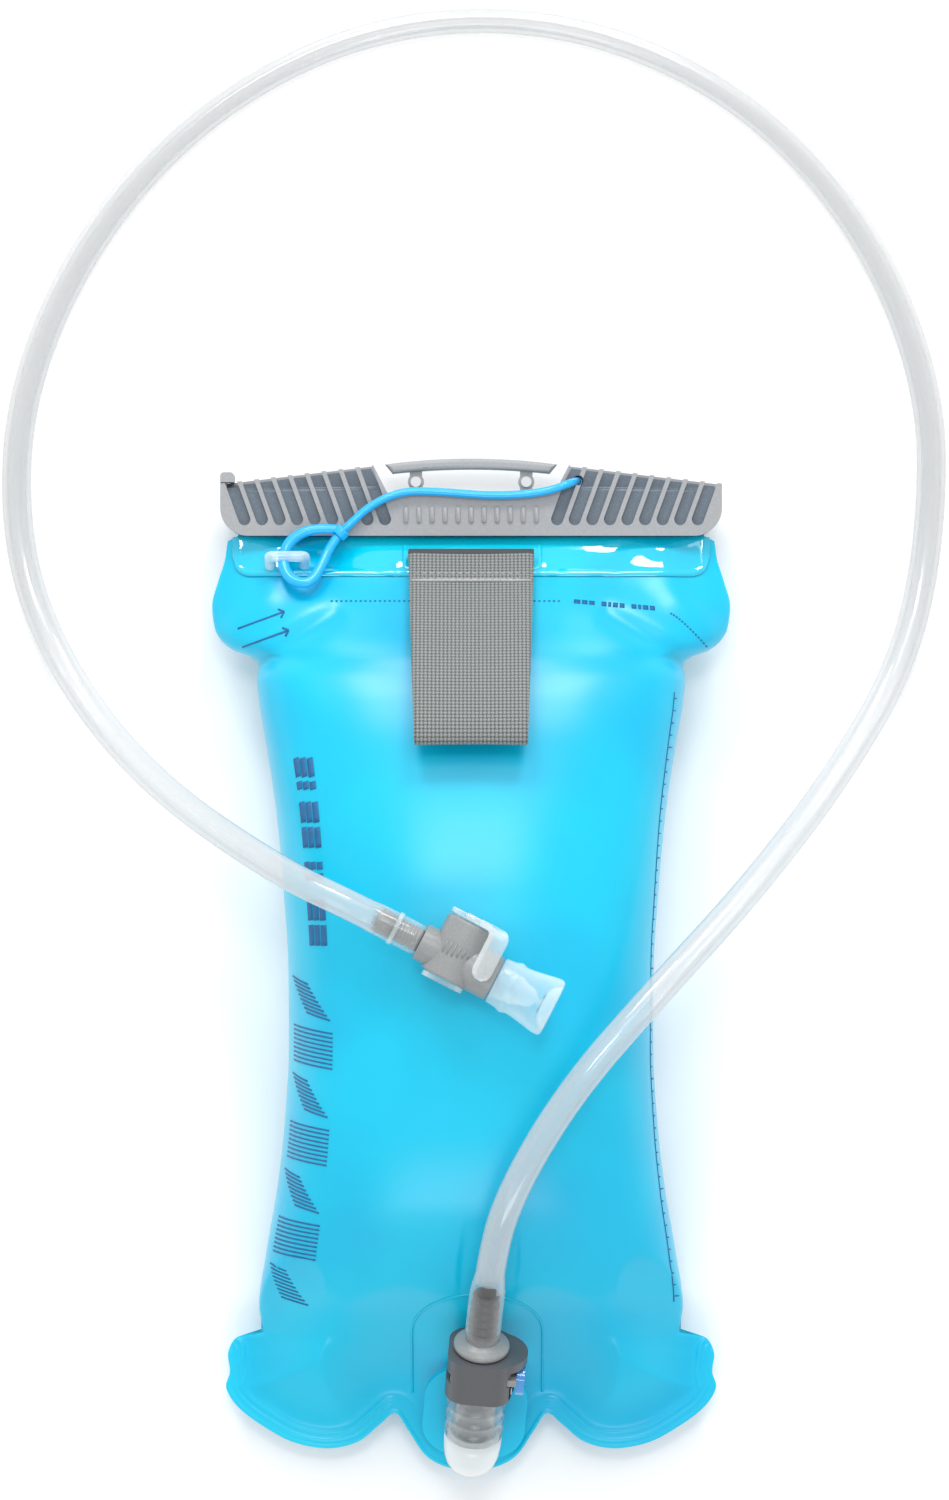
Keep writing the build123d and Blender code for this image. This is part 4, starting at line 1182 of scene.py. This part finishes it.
@dataclass
class HangStrap:
    """Flat webbing loop that hangs from the flap, with its sewn root."""

    thickness: float = 1.3
    root_half: float = 20.2
    end_half: float = 17.9
    hinge: tuple[float, float, float] = (0.0, 132.38, 27.23)
    line: tuple[tuple[float, float], ...] = (
        (133.0, 27.6), (132.6, 28.6), (130.4, 30.4), (123.0, 36.8), (111.0, 49.4), (97.0, 62.2), (84.0, 71.6),
        (76.0, 76.2), (71.6, 76.0), (71.6, 72.4), (77.0, 69.2), (84.0, 65.6), (97.0, 57.4), (110.0, 46.4),
        (121.6, 34.2), (129.8, 27.4), (131.6, 26.5),
    )

    def build(self) -> None:
        """Makes the webbing and its stitches."""
        centre = nurbs("strap_line", tuple((0.0, y, z) for y, z in self.line))
        path = points_on(centre)
        bpy.data.objects.remove(centre)
        strap = self.webbing(path)
        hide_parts("hang_strap")
        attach(strap, "strap")
        total = sum((b - a).length for a, b in zip(path, path[1:]))
        self.rolled_root()
        self.stitches(path)
        LOG.info("hang strap: %.0f mm of webbing", total)

    def rolled_root(self) -> None:
        """Makes the roll of webbing that the loop swings on."""
        roll = Matrix.Translation(Vector(self.hinge)) @ Matrix.Rotation(math.pi / 2, 4, "Y")
        profile = rounded([(0.02, -self.root_half), (1.85, -self.root_half), (1.85, self.root_half),
                           (0.02, self.root_half)], 0.4, 3)
        root = lathe("strap_root_roll", profile, roll, WEBBING, steps=28)
        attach(root, "strap")

    def half_at(self, y: float) -> float:
        """Half width of the strap: it narrows towards its free end."""
        return self.end_half + (self.root_half - self.end_half) * min(1.0, max(0.0, (y - 71) / 62))

    def webbing(self, path: list[Vector]) -> bpy.types.Object:
        """Makes the strap as a thin solid with rounded selvedges and weave coordinates in millimetres."""
        cells = 28
        section = []
        for j in range(cells + 1):
            section.append((2 * j / cells - 1, 0.5))
        for j in range(cells + 1):
            section.append((1 - 2 * j / cells, -0.5))
        verts, along = [], 0.0
        for i, point in enumerate(path):
            run = (path[min(i + 1, len(path) - 1)] - path[max(i - 1, 0)]).normalized()
            normal = Vector((0, -run.z, run.y))
            along += (point - path[i - 1]).length if i else 0.0
            half = self.half_at(point.y)
            for share, face in section:
                thin = 1 - 0.55 * max(0.0, (abs(share) - 0.93) / 0.07)
                rib = 0.06 * math.cos(along * math.pi / 1.25) * (1 if abs(share) > 0.97 else 0)
                cup = 0.5 * (1 - share ** 2)
                place = point + normal * (self.thickness * face * thin + cup * 0.6)
                verts.append((share * (half + rib), place.y, place.z))
        count = len(section)
        faces = grid_faces(len(path), count, True)
        faces.append(tuple(range(count)))
        faces.append(tuple((len(path) - 1) * count + i for i in range(count)))
        strap = make_object("hang_strap_webbing", verts, faces, WEBBING)
        self.lay_weave(strap, path)
        return strap

    def lay_weave(self, strap: bpy.types.Object, path: list[Vector]) -> None:
        """Writes each corner's place across and along the strap, in millimetres, to its UV map."""
        line = np.array([tuple(p) for p in path])
        along = np.concatenate(([0.0], np.cumsum(np.linalg.norm(np.diff(line, axis=0), axis=1))))
        places = [vertex.co / MM for vertex in strap.data.vertices]
        nearest = [int(np.argmin((line[:, 1] - p.y) ** 2 + (line[:, 2] - p.z) ** 2)) for p in places]
        layer = strap.data.uv_layers.new(name="weave")
        for loop in strap.data.loops:
            index = loop.vertex_index
            layer.data[loop.index].uv = (places[index].x, along[nearest[index]])

    def stitches(self, path: list[Vector]) -> None:
        """Makes the bar of stitches across the strap's root."""
        verts, faces = [], []
        thread = MouldedPlastic("polyester_thread", "#9fa2a0", roughness=0.6, fleck="#c3c6c4")
        for row_y in (124.6, 126.6):
            spot = min(path[: len(path) // 2], key=lambda p: abs(p.y - row_y))
            pitch, count = 2.3, 16
            for i in range(count):
                start = (i - (count - 1) / 2) * pitch
                base = len(verts)
                for k in range(7):
                    x = start - 0.8 + 1.6 * k / 6
                    lift = 0.75 + 0.32 * math.sin(math.pi * k / 6)
                    for turn in range(6):
                        a = math.tau * turn / 6
                        verts.append((x, spot.y + 0.26 * math.cos(a) - lift * 0.55,
                                      spot.z + lift * 0.95 + 0.26 * math.sin(a)))
                faces += [tuple(base + v for v in f) for f in grid_faces(7, 6, True)]
        piece = make_object("strap_stitches", verts, faces, thread)
        fold = min(path[: len(path) // 2], key=lambda p: abs(p.y - 123.6))
        across = [Vector((x, fold.y, fold.z + 0.75)) for x in np.linspace(-19.3, 19.3, 12)]
        seam = swept("strap_seam", across, lambda along: 0.5, thread, steps=10)
        for part in (piece, seam):
            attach(part, "strap")


@dataclass
class Eyelet:
    """Clear moulded arch that the tether is hitched to."""

    centre: tuple[float, float] = (-59.1, 128.4)
    reach: float = 5.6
    radius: float = 1.75
    rise: float = 6.6

    def build(self, bag: FilmBag) -> None:
        """Makes the arch with its two feet."""
        x, y = self.centre
        ground = float(bag.top(x, np.array([y]))[0])
        up = Vector((0, 0.5, 0.87))
        base = Vector((x, y, ground))
        corners = (-self.reach, 0.5), (-self.reach, self.rise), (self.reach, self.rise), (self.reach, 0.5)
        route = [base + Vector((side, 0, 0)) + up * height for side, height in corners]
        middle = [route[0], route[0].lerp(route[1], 0.8), route[1], route[1].lerp(route[2], 0.2),
                  route[1].lerp(route[2], 0.8), route[2], route[2].lerp(route[3], 0.2), route[3]]
        line = nurbs("eyelet_line", tuple(tuple(p) for p in middle))
        path = points_on(line)
        bpy.data.objects.remove(line)
        arch = swept("eyelet_arch", path, lambda along: self.radius, FROSTED_LOOP, steps=20)
        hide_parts("tether_eyelet")
        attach(arch, "bag")
        LOG.info("tether eyelet")


class Prints:
    """Plain screen-printed marks: fill line, level scale, capacity bars and hatched bands. They carry
    no words."""

    def __init__(self, bag: FilmBag) -> None:
        """Starts an empty set of marks for a bag."""
        self.bag = bag
        self.verts: list[Vector] = []
        self.faces: list[tuple[int, ...]] = []

    def strip(self, points: list[Vector], width: float) -> None:
        """Adds a line of ink through points that lie on the film.

        Args:
            points: points on the film, in millimetres.
            width: the line's width.
        """
        base = len(self.verts)
        for i, point in enumerate(points):
            run = (points[min(i + 1, len(points) - 1)] - points[max(i - 1, 0)]).normalized()
            out = self.outward(point)
            across = run.cross(out).normalized() * (width / 2)
            for side in (-1, 1):
                self.verts.append(point + across * side + out * 0.05)
                self.verts.append(point + across * side - out * 0.1)
        for i in range(len(points) - 1):
            a = base + 4 * i
            b = a + 4
            self.faces += [(a, b, b + 2, a + 2), (a + 1, a + 3, b + 3, b + 1), (a, a + 1, b + 1, b),
                           (a + 2, b + 2, b + 3, a + 3)]
        end = base + 4 * (len(points) - 1)
        self.faces += [(base, base + 2, base + 3, base + 1), (end, end + 1, end + 3, end + 2)]

    def outward(self, point: Vector) -> Vector:
        """The film's outward direction at a point."""
        step = 0.4
        x, y = np.array([point.x, point.x + step, point.x]), np.array([point.y, point.y, point.y + step])
        z = self.bag.top(x, y)
        slope = Vector((-(z[1] - z[0]) / step, -(z[2] - z[0]) / step, 1.0))
        return slope.normalized()

    def over(self, x: float, y: float) -> Vector:
        """A point on the upper film."""
        return Vector((x, y, float(self.bag.top(x, np.array([y]))[0]) + 0.1))

    def line(self, start: tuple[float, float], end: tuple[float, float], width: float,
             cells: int = 6) -> None:
        """Adds a straight line of ink between two places on the upper film."""
        places = [k / cells for k in range(cells + 1)]
        self.strip([self.over(start[0] + (end[0] - start[0]) * t, start[1] + (end[1] - start[1]) * t)
                    for t in places], width)

    def build(self) -> None:
        """Makes every mark as one piece of ink."""
        self.fill_line()
        self.level_scale()
        self.capacity_bars()
        self.hatched_bands()
        self.arrows()
        ink = make_object("fill_marks", self.verts, self.faces, INK)
        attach(ink, "bag")
        LOG.info("prints: %d marks' faces", len(self.faces))

    def fill_line(self) -> None:
        """A dotted line for the highest fill, with a row of plain blocks at its right end."""
        for i in range(48):
            x = -45.0 + i * 1.55
            self.line((x, 117.3), (x + 0.6, 117.3), 0.55, 1)
        self.blocks((33.0, 117.2), (59.0, 115.0), 2.0,
                    (2.6, 2.2, 2.2, 0, 2.0, 1.2, 2.0, 2.0, 0, 2.0, 1.2, 2.2, 2.0))
        for i in range(14):
            t = i / 13
            x, y = 64.0 + 11.5 * t, 113.5 - 10.5 * t ** 1.2
            self.line((x, y), (x + 0.5, y - 0.4), 0.5, 1)

    def blocks(self, start: tuple[float, float], end: tuple[float, float], tall: float,
               widths: tuple[float, ...]) -> None:
        """Adds a row of plain blocks between two places on the upper film.

        Args:
            start: where the row starts.
            end: where it ends.
            tall: each block's height.
            widths: block widths in order; 0 leaves a gap.
        """
        gap = 0.75
        full = sum(w or 1.4 for w in widths) + gap * (len(widths) - 1)
        scale = math.dist(start, end) / full
        at = 0.0
        for width in widths:
            if width:
                a, b = at / full, (at + width) / full
                self.line((start[0] + (end[0] - start[0]) * a, start[1] + (end[1] - start[1]) * a),
                          (start[0] + (end[0] - start[0]) * b, start[1] + (end[1] - start[1]) * b),
                          tall * scale, 2)
            at += (width or 1.4) + gap

    def level_scale(self) -> None:
        """A fine graduated line along the right side, close to the bag's edge."""
        ys = np.linspace(88, -108, 70)
        angle = 12 + 7 * np.abs((ys + 15) / 100) ** 1.5
        self.strip([self.bag.on_side(y, a, 1) for y, a in zip(ys, angle)], 0.4)
        for i in range(50):
            y = 86 - i * 3.92
            inner = 12 + 7 * abs((y + 15) / 100) ** 1.5
            reach = 4.5 if i % 9 == 4 else 1.8
            self.strip([self.bag.on_side(y, inner - 1.0 - t * reach, 1) for t in (0.0, 0.5, 1.0)], 0.4)

    def capacity_bars(self) -> None:
        """Bold plain blocks on the left flank that stand for the bag's capacity."""
        for start, end in ((67.0, 61.0), (59.5, 57.0), (53.0, 46.5), (45.0, 38.5), (34.0, 31.6), (30.4, 28.0),
                           (22.0, 15.5), (14.0, 7.5)):
            for angle in (32.5, 36.0, 39.5):
                ys = np.linspace(start, end, 5)
                self.strip([self.bag.on_side(y, angle, -1) for y in ys], 2.3)

    def hatched_bands(self) -> None:
        """Seven blocks of slanted strokes down the left flank."""
        for band in range(7):
            top = -2.5 - band * 15.4
            for i in range(9):
                y = top - i * 1.4
                low, high = (16.0, 43.0) if band % 2 else (15.0 + i * 1.6, 29.0 + i * 1.6)
                points = [self.bag.on_side(y - 2.4 * t, low + (high - low) * t, -1)
                          for t in np.linspace(0, 1, 6)]
                self.strip(points, 0.55)

    def arrows(self) -> None:
        """Two plain arrows at the left shoulder: fold over, and slide to close."""
        for x, y in ((-75.0, 108.5), (-73.5, 102.5)):
            tip = (x + 15.0, y + 5.4)
            self.line((x, y), tip, 0.6)
            self.line((tip[0] - 2.0, tip[1] + 0.8), tip, 0.6, 2)
            self.line((tip[0] - 1.0, tip[1] - 2.0), tip, 0.6, 2)


# ---------------------------------------------------------------- closure
@dataclass
class Closure:
    """Slide closure: pale ribbed frames over a slate channel, with the carry grip."""

    edge: float = 0.45
    front_z: float = 23.5

    def build(self) -> None:
        """Dresses the closure's moulded parts and adds the grip bars in its middle."""
        finishes = {
            "slider_front": PALE_NYLON, "slider_back": PALE_NYLON, "carry_grip": PALE_NYLON,
            "slider_core": SLATE_NYLON, "grip_pins": STEEL, "tether_stopper": CORD_RUBBER,
        }
        for node, finish in finishes.items():
            dress_node(node, finish)
        for node in ("slider_front", "slider_back", "slider_core"):
            soften(frame["nodes"][node], self.edge, segments=2)
        soften(frame["nodes"]["carry_grip"], 0.9, segments=3)
        self.thumb_bars()
        for side in (-1, 1):
            ends = [Vector((side * x, y, 20.6)) for x, y in ((30.5, 153.6), (52.0, 153.2), (74.6, 152.8))]
            # the channel's real rounded top edge, seen through the slots; its lighter slate is a painted
            # highlight
            lip = swept("channel_lip", ends, lambda along: 0.95, SLATE_LIP_HIGHLIGHT, steps=16)
            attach(lip, "closure")
        LOG.info("closure: %d moulded parts", len(finishes))

    def thumb_bars(self) -> None:
        """Makes the raised plain bars that a thumb pushes against."""
        verts, faces = [], []
        for i in range(11):
            x = (i - 5) * 4.2
            outline = rounded([(x - 0.8, 142.6), (x + 0.8, 142.6), (x + 0.8, 147.8), (x - 0.8, 147.8)],
                              0.8, 3)
            base = len(verts)
            for height, inset in ((-0.2, 0.0), (0.35, 0.0), (0.6, 0.25)):
                for px, py in outline:
                    verts.append((x + (px - x) * (1 - inset), 145.2 + (py - 145.2) * (1 - inset * 0.2),
                                  self.front_z + height))
            count = len(outline)
            faces += [tuple(base + v for v in f) for f in grid_faces(3, count, True)]
            faces.append(tuple(base + 2 * count + k for k in range(count)))
        bars = make_object("thumb_bars", verts, faces, PALE_NYLON)
        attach(bars, "closure")


def dress_node(node: str, finish: Finish) -> None:
    """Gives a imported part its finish."""
    piece = frame["nodes"][node]
    piece.data.materials.clear()
    piece.data.materials.append(finish.material())


# ---------------------------------------------------------------- port and plug
@dataclass
class Port:
    """Welded outlet: frosted socket, latch housing with its tinted button, and check valve."""

    radius: float = 9.2
    wall: float = 1.8
    mouth: float = 46.0

    def build(self) -> None:
        """Makes the socket, dresses and rounds the housing and the button, and dresses the parts inside."""
        self.socket()
        # the housing's darker grey is painted shade on the same acetal
        dress_node("latch_housing", SHADED_ACETAL)
        soften(frame["nodes"]["latch_housing"], 0.5, segments=3)
        dress_node("latch_button", BLUE_BUTTON)
        soften(frame["nodes"]["latch_button"], 0.6, segments=3)
        dress_node("port_base", FILM)
        dress_node("latch_plate", ACETAL)
        dress_node("port_poppet", DARK_ACETAL)
        dress_node("poppet_spring", STEEL)
        dress_node("latch_spring", STEEL)
        soften(frame["nodes"]["port_base"], 0.6)
        LOG.info("port")

    def socket(self) -> None:
        """Turns the socket with its round closed tip and its moulded rings."""
        r, inner = self.radius, self.radius - self.wall
        split = 15.6
        tip = [(0.0, 0.0), (3.4, 0.35), (5.8, 1.7), (7.7, 4.2), (8.8, 7.6), (r, 11.5), (r, split),
               (5.6, split), (5.6, 8.0), (4.0, 5.6), (0.0, 5.2)]
        barrel = [(r, split)]
        for ring in (18.0, 22.6, 27.2):
            barrel += [(r, ring), (r + 0.28, ring + 0.4), (r + 0.28, ring + 1.3), (r, ring + 1.7)]
        barrel += [(r, self.mouth), (inner, self.mouth), (inner, 17.4), (5.8, split)]
        bullet = lathe("port_socket_tip", tip, PORT, FROSTED_SOCKET, steps=72)
        socket = lathe("port_socket_shell", barrel, PORT, CLEAR_SOCKET, steps=72)
        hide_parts("port_socket")
        for piece in (bullet, socket):
            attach(piece, "bag")


@dataclass
class Plug:
    """Quick-release plug: stem with O-rings, flange, and the ribbed barb inside the tube."""

    flange_low: float = 49.2
    barb_root: float = 53.0
    barb_tip: float = 70.5

    def build(self) -> None:
        """Turns the stem, the flange and the barb."""
        low, root, tip = self.flange_low, self.barb_root, self.barb_tip
        step = (tip - root - 2.0) / 5
        barb = [(4.35, root)]
        for i in range(5):
            start = root + i * step
            barb += [(3.85, start + 0.1), (4.75, start + 0.6), (4.7, start + 1.5), (3.9, start + step - 0.35)]
        barb += [(4.3, tip - 1.6), (4.3, tip - 0.4), (4.0, tip), (3.1, tip), (3.0, root)]
        hose_barb = lathe("hose_barb", barb, PORT, DARK_ACETAL, steps=48)
        flange = rounded([(2.9, low), (8.5, low), (9.0, low + 0.8), (8.9, low + 2.0), (7.4, root - 0.6),
                          (5.2, root + 0.4), (4.3, root + 0.5), (2.9, root + 0.5)], 0.5, 4)
        collar = lathe("plug_flange", flange, PORT, ACETAL, steps=72)
        stem = [(2.4, 15.0), (3.6, 15.0), (3.6, 17.8), (6.3, 17.8), (6.3, low + 0.1), (2.4, low + 0.1)]
        body = lathe("plug_shank", rounded(stem, 0.3, 2), PORT, DARK_ACETAL, steps=48)
        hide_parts("plug_stem")
        for piece in (hose_barb, collar, body):
            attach(piece, "plug")
        dress_node("plug_o_rings", SEAL_RUBBER)
        LOG.info("plug")


# ---------------------------------------------------------------- shut-off and bite valve
@dataclass
class ShutOff:
    """Quarter-turn shut-off: tee body, clear spindle and thumb lever, and the barbed insert."""

    barrel_mid: float = 12.0
    barrel_low: float = -7.0
    barrel_high: float = 12.3
    barrel_radius: float = 8.0
    outlet_end: float = 26.4
    lever_angle: float = 48.0
    lever_reach: float = 15.0

    def build(self) -> None:
        """Makes the tee, the bars on it, the lever and the insert, and dresses the parts inside."""
        self.barrel_place = VALVE @ axis_place(Vector((0, 0, self.barrel_mid)), Vector((1, 0, 0)),
                                               Vector((0, 0, -1)))
        self.tee()
        self.flow_bars()
        self.lever()
        self.insert()
        dress_node("shutoff_spindle", POLYCARBONATE)
        dress_node("spindle_rings", SEAL_RUBBER)
        dress_node("tube_ring", SILICONE)
        LOG.info("shut-off")

    def tee(self) -> None:
        """Makes the grey tee as a barrel and two necks in one piece."""
        low, high, r = self.barrel_low, self.barrel_high, self.barrel_radius
        barrel = rounded([(6.2, low), (r, low), (r, high), (6.2, high)], 1.1, 5)
        pieces = [lathe("valve_tee", barrel, self.barrel_place, ACETAL, steps=80)]
        inlet = rounded([(2.4, 0.2), (6.0, 0.2), (6.0, 8.5), (2.4, 8.5)], 0.5, 3)
        end = self.outlet_end
        outlet = rounded([(2.4, 15.0), (7.0, 15.0), (7.35, 18.0), (7.35, end), (2.4, end)], 0.7, 4)
        pieces.append(lathe("inlet_neck", inlet, VALVE, ACETAL, steps=64))
        pieces.append(lathe("outlet_neck", outlet, VALVE, ACETAL, steps=64))
        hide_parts("valve_body")
        for piece in pieces:
            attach(piece, "plug")

    def flow_bars(self) -> None:
        """Makes the raised bars round the barrel that shorten from open to closed."""
        verts, faces = [], []
        lengths = (4.4, 4.4, 4.4, 3.4, 2.4, 1.6, 1.0)
        for i, length in enumerate(lengths):
            turn = math.radians(122 - i * 11.5)
            base = len(verts)
            end = length / 2
            outline = rounded([(-0.32, -end), (0.32, -end), (0.32, end), (-0.32, end)], 0.3, 3)
            for lift in (-0.3, 0.28):
                for across, along in outline:
                    a = turn + across / self.barrel_radius
                    r = self.barrel_radius + lift
                    verts.append((-r * math.cos(a), r * math.sin(a), 2.6 + along))
            count = len(outline)
            faces += [tuple(base + v for v in f) for f in grid_faces(2, count, True)]
            faces.append(tuple(base + count + k for k in range(count)))
        bars = make_object("flow_bars", carried(self.barrel_place, verts), faces, ACETAL)
        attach(bars, "plug")

    def lever(self) -> None:
        """Makes the clear lever: a cap, and a strip that bends back over the barrel."""
        top = self.barrel_high + 0.5
        turned = self.barrel_place @ Matrix.Rotation(math.radians(180 - self.lever_angle), 4, "Z")
        disc = rounded([(0.01, top), (7.7, top), (7.7, top + 1.9), (0.01, top + 1.9)], 0.8, 5)
        cap = lathe("lever_cap", disc, turned, POLYCARBONATE, steps=64)
        reach, thick = self.lever_reach - 0.9, 1.8
        corner = 2.6
        path = [(0.0, top + 0.95), (reach - corner, top + 0.95)]
        for i in range(1, 8):
            a = math.pi / 2 * i / 8
            path.append((reach - corner + corner * math.sin(a), top + 0.95 - corner * (1 - math.cos(a))))
        end = top - 15.2
        for i in range(13):
            path.append((reach, top + 0.95 - corner - (top + 0.95 - corner - end) * i / 12))
        verts = []
        for i, (out, height) in enumerate(path):
            a, b = path[max(i - 1, 0)], path[min(i + 1, len(path) - 1)]
            run = Vector((b[0] - a[0], b[1] - a[1])).normalized()
            normal = Vector((-run.y, run.x))
            from_end = height - end
            half = 3.5 * math.sqrt(max(1 - max(1 - from_end / 3.5, 0) ** 2, 0.02)) if out == reach else 3.5
            for side, face in ((-1, -0.5), (-0.8, -0.5), (0.8, -0.5), (1, -0.5),
                               (1, 0.5), (0.8, 0.5), (-0.8, 0.5), (-1, 0.5)):
                rim = 0.35 if abs(side) == 1 else 0.0
                offset = normal * thick * face * (1 + (rim if face > 0 else 0))
                verts.append((out + offset.x, half * side, height + offset.y))
        faces = grid_faces(len(path), 8, True)
        faces.append(tuple(range(8)))
        faces.append(tuple((len(path) - 1) * 8 + k for k in range(8)))
        strip = make_object("thumb_lever", carried(turned, verts), faces, POLYCARBONATE)
        soften(strip, 0.3, segments=2)
        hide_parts("shutoff_lever")
        for piece in (cap, strip):
            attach(piece, "shutoff")

    def insert(self) -> None:
        """Turns the barbed insert that the tube's end is pushed on."""
        ribs = [(3.1, -15.6), (3.9, -15.6), (4.1, -15.0), (4.1, -9.2), (3.5, -8.9)]
        for i in range(7):
            low = -8.4 + i * 1.15
            ribs += [(3.5, low), (4.0, low + 0.35), (3.9, low + 0.8)]
        ribs += [(3.5, 0.2), (2.4, 0.2), (2.4, -15.6)]
        insert = lathe("tube_insert", ribs, VALVE, ACETAL, steps=48)
        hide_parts("valve_barb")
        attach(insert, "plug")


@dataclass
class BiteValve:
    """Soft silicone bite valve: a skirt on the grey neck, a stop ridge and an oval dished mouth."""

    start: float = 26.6
    length: float = 20.3

    def oval(self, height: float) -> tuple[float, float]:
        """Stretch of the section: round at the neck and flattened at the mouth."""
        t = min(1.0, max(0.0, (height - self.start - 6.5) / 11.0))
        return 1.0 + 0.04 * t, 1.0 - 0.22 * t

    def build(self) -> None:
        """Turns the valve with its dish and lips."""
        s = self.start
        outside = [(7.45, 0.0), (7.65, 0.6), (7.8, 4.2), (8.55, 4.8), (8.6, 6.2), (8.0, 6.9), (7.9, 8.4),
                   (8.35, 12.0), (8.9, 15.4), (9.25, 18.2), (9.2, 19.5), (8.6, 20.2), (7.8, 20.3),
                   (7.1, 19.8)]
        dish = [(6.6, 18.2), (5.2, 16.9), (3.0, 16.3), (0.6, 16.1), (0.5, 14.4), (2.6, 13.6), (3.4, 12.0),
                (3.4, 9.4), (5.1, 8.6), (5.1, 0.0)]
        profile = [(r, s + h) for r, h in outside + dish]
        valve = lathe("bite_valve", profile, VALVE, SILICONE, steps=80, oval=self.oval)
        smooth = valve.modifiers.new("cast", "SUBSURF")
        smooth.levels = smooth.render_levels = 1
        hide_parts("bite_sleeve")
        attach(valve, "plug")
        lips = rounded([(-2.9, -0.35), (2.9, -0.35), (2.9, 0.35), (-2.9, 0.35)], 0.35, 3)
        slit = prism("bite_slit", lips, s + 16.0, s + 16.5, VALVE, SEAL_RUBBER, 0.1)
        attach(slit, "plug")
        LOG.info("bite valve")


def main() -> None:
    """Builds the studio, the cords and every piece, and reports each."""
    logging.basicConfig(level=logging.INFO, format="%(name)s: %(message)s")
    Studio().build()
    ShutOff().build()
    BiteValve().build()
    DrinkingTube().build()
    Tether().build()
    bag = FilmBag()
    bag.build()
    GlossBand().build(bag)
    HangStrap().build()
    Eyelet().build(bag)
    Prints(bag).build()
    Closure().build()
    Port().build()
    Plug().build()


if __name__ == "__main__":
    main()
